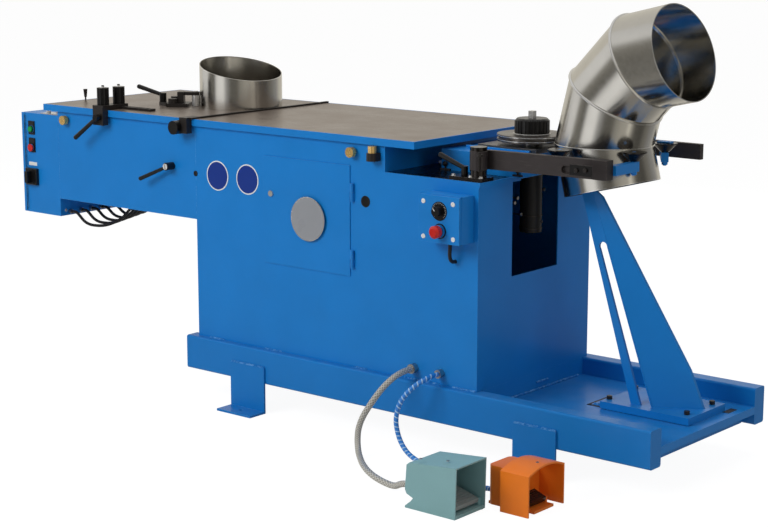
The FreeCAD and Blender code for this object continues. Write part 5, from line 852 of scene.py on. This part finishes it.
class Machined(bpy.types.Operator):
    """Machined and darkened steel pieces, with broken edges"""
    bl_idname = "elbow_machine.machined"
    bl_label = "Machined pieces"

    NODES = {
        "table_plates": "table_steel", "head_housing": "blue_paint", "head_carriage": "turned_steel",
        "front_arm": "arm_steel", "rear_arm": "arm_steel", "front_roller_bars": "blue_paint",
        "rear_roller_bar": "blue_paint", "table_brackets": "black_steel", "flanging_frame": "black_steel",
        "arm_posts": "dark_chrome", "column_bolts": "black_steel",
    }

    def execute(self, context):
        for node, look in self.NODES.items():
            soften(node, look, sizes().steel_edge)
        soften("closing_nut", "black_plastic", 2.6, 3, least=50)
        return {"FINISHED"}


class Finishes(bpy.types.Operator):
    """Finishes of the CAD pieces whose shape stays as it is"""
    bl_idname = "elbow_machine.finishes"
    bl_label = "Finishes of kept pieces"

    KEPT = {
        "chrome": "door_lock closing_spindle flange_roll_outer",
        "dark_chrome": "cone_roller_left cone_roller_front cone_roller_rear flange_roll_inner",
        "motor_grey": "closing_gearmotor flange_gearmotor",
        "roll_steel": "closing_roll",
        "bare_steel": "inner_roll cable_glands",
        "brass": "brass_knob_left brass_knob_right brass_knob_top",
        "black_plastic": "post_lever front_lever edge_lever mid_lever bracket_knob guide_roller_left"
                         " guide_roller_right switch_knob speed_dial switch_treadle",
        "green_plastic": "start_button",
        "red_plastic": "stop_button emergency_stop",
        "pedal_green": "pedal_housing",
        "pedal_orange": "footswitch_housing",
        "tread_metal": "pedal_treadle",
        "cable_black": "fixed_cables",
    }

    def execute(self, context):
        for look, nodes in self.KEPT.items():
            for node in nodes.split():
                materials = frame["nodes"][node].data.materials
                materials.clear()
                materials.append(LOOKS[look])
        return {"FINISHED"}


def plate(radius, thick):
    """Closed profile of a flat round plate with a softened rim."""
    soft = min(0.4, thick * 0.4)
    return [(0, -SINK), (radius, -SINK), (radius, thick - soft), (radius - soft, thick), (0, thick)]


def ring(inner, outer, thick, back=SINK):
    """Closed profile of a flat ring with softened rims."""
    soft = min(0.5, thick * 0.4, (outer - inner) * 0.3)
    return [
        (inner, -back), (outer, -back), (outer, thick - soft), (outer - soft, thick),
        (inner + soft, thick), (inner, thick - soft), (inner, -back),
    ]


class Signs(bpy.types.Operator):
    """Two plain sign discs on the arm box and a blank round plate on the door"""
    bl_idname = "elbow_machine.signs"
    bl_label = "Signs"

    PLACES = ((107.0, 809.0), (251.0, 809.0))
    BADGE = (539.0, -12.3, 704.0)
    RIM_WIDTH = 4.0

    def execute(self, context):
        radius = sizes().sign_diameter / 2
        for index, (x, z) in enumerate(self.PLACES):
            self.disc(f"sign_{index}", "root", (x, 0.0, z), radius, "label_white", "sign_blue")
        badge_radius = sizes().badge_diameter / 2
        self.disc("door_plate", "access_door", self.BADGE, badge_radius, "chrome", "plate_grey")
        return {"FINISHED"}

    def disc(self, name, body, place, radius, rim, field):
        for part, look, reach, thick in (
            ("_rim", rim, radius, 0.8), ("_field", field, radius - self.RIM_WIDTH, 1.1)
        ):
            add_piece(name + part, body, look, lambda bm: lathe(bm, plate(reach, thick), place, -Y_AXIS, 64))


def lean(degrees):
    """Upward direction tilted towards the right."""
    angle = math.radians(degrees)
    return Vector((math.sin(angle), 0, math.cos(angle)))


class Duct(bpy.types.Operator):
    """Galvanised elbow on the closing station and loose gore on the table"""
    bl_idname = "elbow_machine.duct"
    bl_label = "Duct"

    RADIUS = 152.5
    SHEET = 1.2
    STEPS = 112
    SEGMENT = 160.0
    SEAM_TILTS = (0.0, 30.0, 60.0)
    FIRST_LENGTH = 140.6
    LAST_LENGTH = 142.8
    MOUTH_TILT = 71.9
    LAST_TILT = 76.9
    BEAD_LIFTS = (2.0, 4.4, 4.4)
    BEAD_HALVES = (1.6, 4.2, 4.2)
    ELBOW_PLACE = Vector((1475.88, 340, 1000))
    ELBOW_TURN = -5.2
    GORE_PLACE = Vector((-160, 398, 1000))
    GORE_TOP = 1141.2
    GORE_TILT = 12.9
    GORE_AZIMUTH = 346.0
    LAP_AZIMUTH = -23.0

    def execute(self, context):
        corners = [Vector((0, 0, 0))]
        for tilt in (15.0, 45.0):
            corners.append(corners[-1] + lean(tilt) * self.SEGMENT)
        turn = Matrix.Rotation(math.radians(self.ELBOW_TURN), 4, "Z")
        seams = [(corner, lean(tilt)) for corner, tilt in zip(corners, self.SEAM_TILTS)]
        foot = (corners[0] - lean(-15.0) * self.FIRST_LENGTH, lean(-15.0))
        mouth = (corners[2] + lean(self.LAST_TILT) * self.LAST_LENGTH, lean(self.MOUTH_TILT))
        ends = [foot, *seams, mouth]
        bm = bmesh.new()
        for axis_tilt, low, high in zip((-15.0, 15.0, 45.0, self.LAST_TILT), ends, ends[1:]):
            join(bm, self.tube(lean(axis_tilt), low, high))
        for (corner, normal), lift, half in zip(seams, self.BEAD_LIFTS, self.BEAD_HALVES):
            join(bm, self.bead(corner, normal, lift, half))
        join(bm, self.rim(*foot, 1.0))
        join(bm, self.rim(*mouth, 1 / math.cos(math.radians(self.LAST_TILT - self.MOUTH_TILT))))
        self.hang(bm, Matrix.Translation(self.ELBOW_PLACE) @ turn, "elbow_sheet", "elbow_duct")
        self.gore()
        return {"FINISHED"}

    def gore(self):
        azimuth = math.radians(self.GORE_AZIMUTH)
        tilt = math.radians(self.GORE_TILT)
        flat = math.sin(tilt)
        normal = Vector((flat * math.cos(azimuth), flat * math.sin(azimuth), math.cos(tilt)))
        top = Vector((0, 0, self.GORE_TOP - self.GORE_PLACE.z))
        sheet = self.tube(Z_AXIS, (Vector((0, 0, 0)), Z_AXIS), (top, normal))
        join(sheet, self.rim(top, normal, 1 / math.cos(tilt), azimuth))
        join(sheet, self.lap(top, normal))
        self.hang(sheet, Matrix.Translation(self.GORE_PLACE), "gore_sheet", "gore_ring")

    def hang(self, bm, place, name, node):
        bmesh.ops.transform(bm, matrix=place, verts=bm.verts)
        finish_piece(bm, name, body_of(node), "galvanised", replaces=(node,), outward=False, weighted=False)

    def lap(self, top, normal):
        """Welded lap down the side of the loose gore."""
        bm = bmesh.new()
        place = Matrix.Rotation(math.radians(self.LAP_AZIMUTH), 4, "Z")
        block(bm, (self.RADIUS - 1, -5, 0.2), (self.RADIUS + 0.9, 5, 200), place)
        trim(bm, top - normal * 2, normal)
        bm.loops.layers.uv.new("UVMap")
        return bm

    def tube(self, axis, low, high):
        """Sheet tube round an axis, cut at both ends by a plane given as point and normal."""
        axis = axis.normalized()
        start = low[0] - axis * self.RADIUS
        length = (high[0] - low[0]).dot(axis) + self.RADIUS * 2
        matrix = frame_at(start + axis * length / 2, axis)
        bm = bmesh.new()
        bmesh.ops.create_cone(
            bm, cap_ends=False, segments=self.STEPS, radius1=self.RADIUS, radius2=self.RADIUS, depth=length,
            matrix=matrix,
        )
        for (point, normal), side in ((low, -1), (high, 1)):
            trim(bm, point, normal * side, closed=False)
        self.map_sheet(bm, matrix, length)
        bmesh.ops.recalc_face_normals(bm, faces=bm.faces)
        sample = bm.faces[:][0]
        away = sample.calc_center_median() - start
        if sample.normal.dot(away - axis * away.dot(axis)) < 0:
            bmesh.ops.reverse_faces(bm, faces=bm.faces)
        bmesh.ops.solidify(bm, geom=bm.faces[:], thickness=self.SHEET)
        return bm

    def map_sheet(self, bm, matrix, length):
        """Unrolls the tube into its map: round the sheet, then along it."""
        layer = bm.loops.layers.uv.new("UVMap")
        back = matrix.inverted()
        for face in bm.faces:
            turns = []
            for loop in face.loops:
                local = back @ loop.vert.co
                turns.append((math.atan2(local.y, local.x) / math.tau, local.z / length))
            wraps = max(t[0] for t in turns) - min(t[0] for t in turns) > 0.5
            for loop, (share, height) in zip(face.loops, turns):
                loop[layer].uv = (share + 1.0 if wraps and share < 0 else share, height)

    def oval(self, point, normal, stretch, profile, azimuth=0.0):
        """Profile spun round a seam plane's oval, whose long axis lies in the plane of the bend."""
        bm = bmesh.new()
        lathe(bm, profile, (0, 0, 0), Z_AXIS, self.STEPS)
        bmesh.ops.recalc_face_normals(bm, faces=bm.faces)
        flat = Vector((math.cos(azimuth), math.sin(azimuth), 0))
        across = normal.cross(flat).normalized()
        along = across.cross(normal).normalized()
        turn = Matrix((along, across, normal.normalized())).transposed().to_4x4()
        matrix = Matrix.Translation(point) @ turn @ Matrix.Diagonal((stretch, 1, 1, 1))
        bmesh.ops.transform(bm, matrix=matrix, verts=bm.verts)
        # Marks beads and rims for the galvanised look's painted highlight.
        mark_painted_highlight(bm)
        layer = bm.loops.layers.uv.new("UVMap")
        for face in bm.faces:
            for loop in face.loops:
                local = loop.vert.co - point
                loop[layer].uv = (math.atan2(local.dot(across), local.dot(along)) / math.tau, 0.5)
        return bm

    def bead(self, point, normal, lift, half):
        """Locked seam: two rolled lips with a groove between them."""
        lip = [(-1.0, 1.0), (0.3, 0.92), (0.82, 0.72), (1.0, 0.46), (0.84, 0.2), (0.35, 0.06)]
        steps = [(rise, -reach) for rise, reach in lip] + [(rise, reach) for rise, reach in reversed(lip)]
        profile = [(self.RADIUS + rise * lift, reach * half) for rise, reach in steps + steps[:1]]
        return self.oval(point, normal, 1 / math.cos(math.radians(15)), profile)

    def rim(self, point, normal, stretch, azimuth=0.0):
        """Thin turned rim of an open end."""
        r = self.RADIUS
        profile = [
            (r - 3.0, -2.2), (r - 0.2, -2.2), (r + 0.1, -1.1), (r - 0.2, 0), (r - 2.8, 0), (r - 3.0, -2.2),
        ]
        return self.oval(point, normal, stretch, profile, azimuth)


class Cabinet(bpy.types.Operator):
    """Button plates, isolator, blank label and top fittings of the electric cabinet"""
    bl_idname = "elbow_machine.cabinet"
    bl_label = "Cabinet details"

    BUTTON_X = -886.0
    SWITCH_Z = 715.0

    def execute(self, context):
        x = self.BUTTON_X
        add_piece("button_plates", "root", "black_plastic", self.draw_plates)
        add_piece("button_bezels", "root", "dark_chrome", lambda bm: [
            lathe(bm, ring(radius, radius + 3.2, 6.4), (x, 0, z), -Y_AXIS, 40)
            for z, radius in ((897, 11), (826, 14.2))
        ])
        add_piece("legend_plates", "root", "motor_grey", lambda bm: [
            block(bm, (x - 15, -4.6, z - 6.5), (x + 15, -3.9, z + 6.5)) for z in (918, 852)
        ])
        add_piece("blank_label", "root", "label_white",
                  lambda bm: block(bm, (x - 23, -0.9, 757), (x + 23, SINK, 770)))
        add_piece("isolator", "root", "black_plastic", self.draw_isolator)
        add_piece("cabinet_fittings", "root", "chrome", self.draw_fittings)
        add_piece("cabinet_hinges", "cabinet_door", "blue_paint", self.draw_hinges)
        # Black strip along the cabinet door's edge: the door's black seal, made dark all over as painted
        # shade of the gap there.
        add_piece("cabinet_seal_and_gap_shade", "root", "black_plastic",
                  lambda bm: block(bm, (-921, -8.5, 582), (-918.5, -7, 952)))
        return {"FINISHED"}

    def draw_plates(self, bm):
        x = self.BUTTON_X
        for low, high in ((876, 928), (808, 863)):
            block(bm, (x - 18, -4, low), (x + 18, SINK, high))
        round_edges(bm, 1.6, 3)

    def draw_isolator(self, bm):
        x, z = self.BUTTON_X, self.SWITCH_Z
        half, front = 32, -15
        block(bm, (x - half, front, z - half), (x + half, SINK, z + half))
        round_edges(bm, 3.0, 3)
        lathe(bm, ring(24.5, 29, 3.5), (x, front, z), -Y_AXIS, 48)

    def draw_fittings(self, bm):
        top = 961
        block(bm, (-842, 6, top - 3.5), (-740, 54, top))
        round_edges(bm, 0.8)
        for x in (-822, -764):
            hex_head(bm, (x, 30, top), Z_AXIS, 16, 7)
            rod(bm, (x, 30, top + 6), Z_AXIS, 4, 4)
        slotted_head(bm, (-734, 25.5, 596), X_AXIS, 6, 3)

    def draw_hinges(self, bm):
        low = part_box("cabinet_door")[0].x / MILLIMETRE + ORIGIN.x
        for z in (640, 893):
            rod(bm, (low + 6, 417, z - 30), Z_AXIS, 60, 6)
        round_edges(bm, 0.8)


class Controls(bpy.types.Operator):
    """Lid joint, screws, dial scale and stop bezel of the control box"""
    bl_idname = "elbow_machine.controls"
    bl_label = "Control box details"

    SCREWS = ((1083, 829.5), (1199, 829), (1083.5, 718.5), (1200.5, 719.4))
    SCALE = 1.6
    TICKS = 21

    def execute(self, context):
        add_piece("control_lid", "root", "blue_paint", self.draw_lid)
        add_piece("control_screws", "root", "label_white", lambda bm: [
            slotted_head(bm, (x, BOX_FRONT, z), -Y_AXIS, 7.6, 2.4, spin)
            for spin, (x, z) in enumerate(self.SCREWS)
        ])
        add_piece("dial_scale", "root", "black_plastic",
                  lambda bm: lathe(bm, plate(30, self.SCALE), DIAL_PLACE, -Y_AXIS, 64))
        add_piece("dial_ticks", "root", "label_white", self.draw_ticks)
        add_piece("dial_pointer", body_of("speed_dial"), "label_white", self.draw_pointer)
        add_piece("stop_bezel", "root", "black_plastic",
                  lambda bm: lathe(bm, ring(20.6, 24, 2.4), STOP_PLACE, -Y_AXIS, 48))
        return {"FINISHED"}

    def draw_lid(self, bm):
        (left, foot), (right, head) = (1062.8, 700.8), (1224.2, 852.2)
        for x0, x1, z0, z1 in (
            (left, left + 2, foot, head), (right - 2, right, foot, head),
            (left, right, foot, foot + 2), (left, right, head - 2, head),
        ):
            block(bm, (x0, -64.5, z0), (x1, -60.5, z1))

    def draw_ticks(self, bm):
        for k in range(self.TICKS):
            angle = math.radians(225 - 270 * k / (self.TICKS - 1))
            long = 4.6 if k % 2 == 0 else 2.8
            middle = 27.4 - long / 2
            place = Matrix.Translation(DIAL_PLACE - Y_AXIS * self.SCALE) @ Matrix.Rotation(-angle, 4, "Y")
            block(bm, (middle - long / 2, -0.3, -0.5), (middle + long / 2, 0.3, 0.5), place)

    def draw_pointer(self, bm):
        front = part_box("speed_dial")[0].y / MILLIMETRE + ORIGIN.y
        place = Matrix.Translation((DIAL_PLACE.x, front, DIAL_PLACE.z))
        block(bm, (3, -0.4, -0.9), (14, 0.4, 0.9), place @ Matrix.Rotation(math.radians(-130), 4, "Y"))


class Fasteners(bpy.types.Operator):
    """Bolts, plugs, latches, studs and bright edges of the casings, the head and the arms, and a black plate
    as painted shade in the front arm's recess
    """
    bl_idname = "elbow_machine.fasteners"
    bl_label = "Fasteners"

    STUD = (1238, 6)

    def execute(self, context):
        add_piece("plug_buttons", "root", "black_plastic", self.draw_plugs)
        add_piece("post_bolts", "root", "chrome", self.draw_post_bolts)
        add_piece("housing_latches", "root", "black_steel", self.draw_latches)
        add_piece("latch_knobs", "root", "black_plastic", self.draw_latch_knobs)
        add_piece("housing_bolt", "root", "chrome", self.draw_housing_bolt)
        add_piece("arm_bolts", "front_arm", "black_steel", self.draw_arm_bolts)
        # Black plate on the front arm: painted shade of the dark recess at the arm's end.
        add_piece("arm_recess_shade", "front_arm", "black_plastic",
                  lambda bm: block(bm, (1552, 35.2, 942), (1630, 38.2, 974)))
        add_piece("arm_stud", "front_arm", "black_steel", self.draw_stud)
        add_piece("shelf_plate", "root", "dark_chrome", self.draw_shelf)
        add_piece("roll_edges", body_of("closing_roll"), "chrome", self.draw_roll_edges, weighted=False)
        add_piece("lever_hub", "front_lever", "chrome", lambda bm: lathe(
            bm, [(0, -SINK), (11, -SINK), (11, 3), (8.5, 4.6), (0, 4.6)], (-118, -34, 824), -Y_AXIS, 40))
        return {"FINISHED"}

    def draw_plugs(self, bm):
        for x, z, r in ((783, 787, 19), (-1, 807, 10)):
            profile = [(0, -SINK), (r, -SINK), (r, 1.2), (r * 0.86, 2.6), (r * 0.6, 2.0), (0, 1.8)]
            lathe(bm, profile, (x, 0, z), -Y_AXIS, 40)

    def draw_housing_bolt(self, bm):
        across, length = 14, 22
        place, axis = Vector((967, 180, 913)), -X_AXIS
        rod(bm, place - axis * SINK, axis, length, across * 0.28)
        hex_head(bm, place + axis * (length * 0.45), axis, across, across * 0.5)
        lathe(bm, ring(across * 0.25, across * 0.62, 1.6), place, axis, 32)

    def draw_post_bolts(self, bm):
        for x in (1129, 1196, 1235):
            for y in (18, 609):
                lathe(bm, ring(2, 8, 1.2), (x, y, 903), Z_AXIS, 28)
                hex_head(bm, (x, y, 904), Z_AXIS, 10, 5, spin=x * 0.1)

    def draw_latches(self, bm):
        block(bm, (965, 158, 891), (1005, 166, 897))
        block(bm, (1254, 158, 896), (1290, 166, 902))
        round_edges(bm, 0.8)

    def draw_latch_knobs(self, bm):
        for x, z in ((985, 912), (1272, 917)):
            rod(bm, (x, 162, z - 17), Z_AXIS, 12, 3)
            ball(bm, (x, 160, z), 9)

    def draw_arm_bolts(self, bm):
        for x, z in ((1577, 957), (1609, 960)):
            hex_head(bm, (x, 35.5, z), -Y_AXIS, 13, 7, spin=x * 0.3)

    def draw_roll_edges(self, bm):
        for z in (993.0, 1006.0):
            lathe(bm, ring(108, 113.2, 2.6, 0.0), CLOSING + Z_AXIS * z, Z_AXIS, 96)
        lathe(bm, ring(56, 60, 1.6), CLOSING + Z_AXIS * 1011, Z_AXIS, 64)

    def draw_stud(self, bm):
        x, y = self.STUD
        rod(bm, (x, y, 926), Z_AXIS, 60, 5)
        for k in range(19):
            lathe(bm, ring(4.4, 5.9, 1.2, 0.0), (x, y, 928.5 + k * 3), Z_AXIS, 20)
        hex_head(bm, (x, y, 972), Z_AXIS, 17, 8)

    def draw_shelf(self, bm):
        block(bm, (869, 6, 890.6), (1237, 621, 892.2))
        round_edges(bm, 0.5, 1)


class Welds(bpy.types.Operator):
    """Painted weld beads of the frame, the deck, the feet and the column, lighter all over as painted
    highlight
    """
    bl_idname = "elbow_machine.welds"
    bl_label = "Welds"

    RAIL_RUNS = ((732, 787), (952, 1091), (1148, 1234), (60, 130), (330, 400))
    FOOT_TOP = 163.5
    DECK_TOP = 167

    def execute(self, context):
        add_piece("frame_welds", "root", "rail_blue", self.draw_frame, sharp=60, weighted=False)
        add_piece("column_welds", "root", "blue_paint", self.draw_column, sharp=60, weighted=False)
        return {"FINISHED"}

    def draw_frame(self, bm):
        width = sizes().weld_width
        for low, high in self.RAIL_RUNS:
            for y in (-1, 628):
                weld(bm, (low, y, RAIL_TOP), (high, y, RAIL_TOP), width)
        for x in (270, 1487):
            for y in (-30, 663):
                weld(bm, (x - 76, y, self.FOOT_TOP), (x + 76, y, self.FOOT_TOP), width)

    def draw_column(self, bm):
        width = sizes().weld_width
        weld(bm, (1692, 330, self.DECK_TOP), (1826, 388, self.DECK_TOP), width)
        for y in (300, 380):
            weld(bm, (1488, y, self.DECK_TOP), (1530, y, self.DECK_TOP), width)
        weld(bm, (1243, 330, 191), (1243, 392, 191), width * 0.7)
        weld(bm, (1243, 60, 168), (1243, 570, 168), width * 0.8)


class Rear(bpy.types.Operator):
    """Screwed cover and air louvres on the back of the body"""
    bl_idname = "elbow_machine.rear"
    bl_label = "Rear cover"

    LEFT, RIGHT, FOOT, HEAD = 330.0, 900.0, 300.0, 800.0
    FACE = 627.0
    THICK = 1.8
    LOUVRES = 8

    def execute(self, context):
        add_piece("rear_cover", "root", "blue_paint", self.draw_cover)
        add_piece("rear_screws", "root", "bare_steel", self.draw_screws)
        return {"FINISHED"}

    def draw_cover(self, bm):
        block(bm, (self.LEFT, self.FACE - SINK, self.FOOT), (self.RIGHT, self.FACE + self.THICK, self.HEAD))
        round_edges(bm, 0.7)
        slats = bmesh.new()
        for k in range(self.LOUVRES):
            rod(slats, (470, self.FACE + 1.5, 430 + k * 24), X_AXIS, 290, 7, sides=32)
        trim(slats, (0, self.FACE + 0.5, 0), -Y_AXIS)
        join(bm, slats)

    def draw_screws(self, bm):
        inset = 16
        for x in (self.LEFT + inset, (self.LEFT + self.RIGHT) / 2, self.RIGHT - inset):
            for z in (self.FOOT + inset, self.HEAD - inset):
                slotted_head(bm, (x, self.FACE + self.THICK, z), Y_AXIS, 5.5, 2.2, spin=x * 0.01)


class Deck(bpy.types.Operator):
    """Black strips on the deck, painted shade of the gap round the column's base plate"""
    bl_idname = "elbow_machine.deck"
    bl_label = "Deck details"

    def execute(self, context):
        # Thin black blocks lying on the deck: painted shade where the gap round the base plate is dark.
        add_piece("deck_gap_shade", "root", "cable_black", self.draw_gap_shade)
        return {"FINISHED"}

    def draw_gap_shade(self, bm):
        low, high = 164.6, 165.9
        for x0, y0, x1, y1 in ((1470, 284, 1481, 420), (1470, 281, 1600, 292), (1850, 478, 1872, 534)):
            block(bm, (x0, y0, low), (x1, y1, high))


class Fittings(bpy.types.Operator):
    """Screws and motor rings seen through the window, and small parts of pedals, knob and guides"""
    bl_idname = "elbow_machine.fittings"
    bl_label = "Small fittings"

    INSIDE = ((267, 808), (251, 794), (289, 752), (393, 793), (418, 818))
    MOTOR = ((352, 724), (371, 721))

    def execute(self, context):
        add_piece("inside_screws", "root", "bare_steel", self.draw_inside)
        add_piece("motor_rings", "root", "black_steel", self.draw_motor)
        add_piece("pedal_screws", "root", "bare_steel", self.draw_pedal_screws)
        add_piece("pedal_lugs", "root", "pedal_green", self.draw_lugs)
        add_piece("knob_ridges", "root", "black_plastic", self.draw_ridges)
        add_piece("guide_screws", "root", "chrome", self.draw_guides)
        return {"FINISHED"}

    def draw_inside(self, bm):
        for y, z in self.INSIDE:
            hex_head(bm, (1196, y, z), X_AXIS, 11, 5, spin=z * 0.2)
            rod(bm, (1160, y, z), X_AXIS, 38, 3.2)

    def draw_motor(self, bm):
        for z in (700, 742):
            lathe(bm, ring(35, 37.6, 5, 0), CLOSING + Z_AXIS * z, Z_AXIS, 56)
        for y, z in self.MOTOR:
            reach = 35 * math.cos(math.asin((y - CLOSING.y) / 36))
            hex_head(bm, (CLOSING.x + reach, y, z), X_AXIS, 9, 4)

    def draw_pedal_screws(self, bm):
        for place in ((1480, -456, 155), (1406, -489, 155), (1665, -270, 143)):
            slotted_head(bm, place, Z_AXIS, 5, 1.6)

    def draw_lugs(self, bm):
        for x, y in ((1475, -490), (1534, -372)):
            rod(bm, (x, y, 0.2), Z_AXIS, 7, 10)
        round_edges(bm, 0.8)

    def draw_ridges(self, bm):
        count, reach = 24, 22.6
        for k in range(count):
            angle = math.tau * k / count
            x, z = -52 + reach * math.cos(angle), 970 + reach * math.sin(angle)
            rod(bm, (x, -21.5, z), -Y_AXIS, 33, 1.6, sides=10)

    def draw_guides(self, bm):
        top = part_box("guide_roller_left")[1].z / MILLIMETRE
        for x, y in ((-474, -2), (-464, 66)):
            lathe(bm, ring(3, 9, 1.0), (x, y, top), Z_AXIS, 32)
            hex_head(bm, (x, y, top + 0.8), Z_AXIS, 10, 5)


class ElbowMachinePanel(bpy.types.Panel):
    bl_idname = "VIEW3D_PT_elbow_machine"
    bl_label = "Elbow Machine"
    bl_space_type = "VIEW_3D"
    bl_region_type = "UI"
    bl_category = "Elbow Machine"

    def draw(self, context):
        for operator in OPERATORS:
            self.layout.operator(operator.bl_idname)
        scene = context.scene
        for group in (scene.machine_colours, scene.machine_sizes, scene.stage_settings):
            for key in group.bl_rna.properties.keys():
                if key not in ("rna_type", "name"):
                    self.layout.prop(group, key)


OPERATORS = (
    Stage, Hoses, Casings, Machined, Finishes, Signs, Duct, Cabinet, Controls, Fasteners, Welds, Deck, Rear,
    Fittings,
)
GROUP_CLASSES = (MachineColours, MachineSizes, StageSettings)


def register():
    for entry in (*GROUP_CLASSES, *OPERATORS, ElbowMachinePanel):
        bpy.utils.register_class(entry)
    bpy.types.Scene.machine_colours = PointerProperty(type=MachineColours)
    bpy.types.Scene.machine_sizes = PointerProperty(type=MachineSizes)
    bpy.types.Scene.stage_settings = PointerProperty(type=StageSettings)


def unregister():
    for entry in reversed((*GROUP_CLASSES, *OPERATORS, ElbowMachinePanel)):
        bpy.utils.unregister_class(entry)
    del bpy.types.Scene.machine_colours
    del bpy.types.Scene.machine_sizes
    del bpy.types.Scene.stage_settings


def main():
    register()
    make_groups()
    make_looks()
    for operator in OPERATORS:
        group, name = operator.bl_idname.split(".")
        getattr(getattr(bpy.ops, group), name)()


if __name__ == "__main__":
    main()
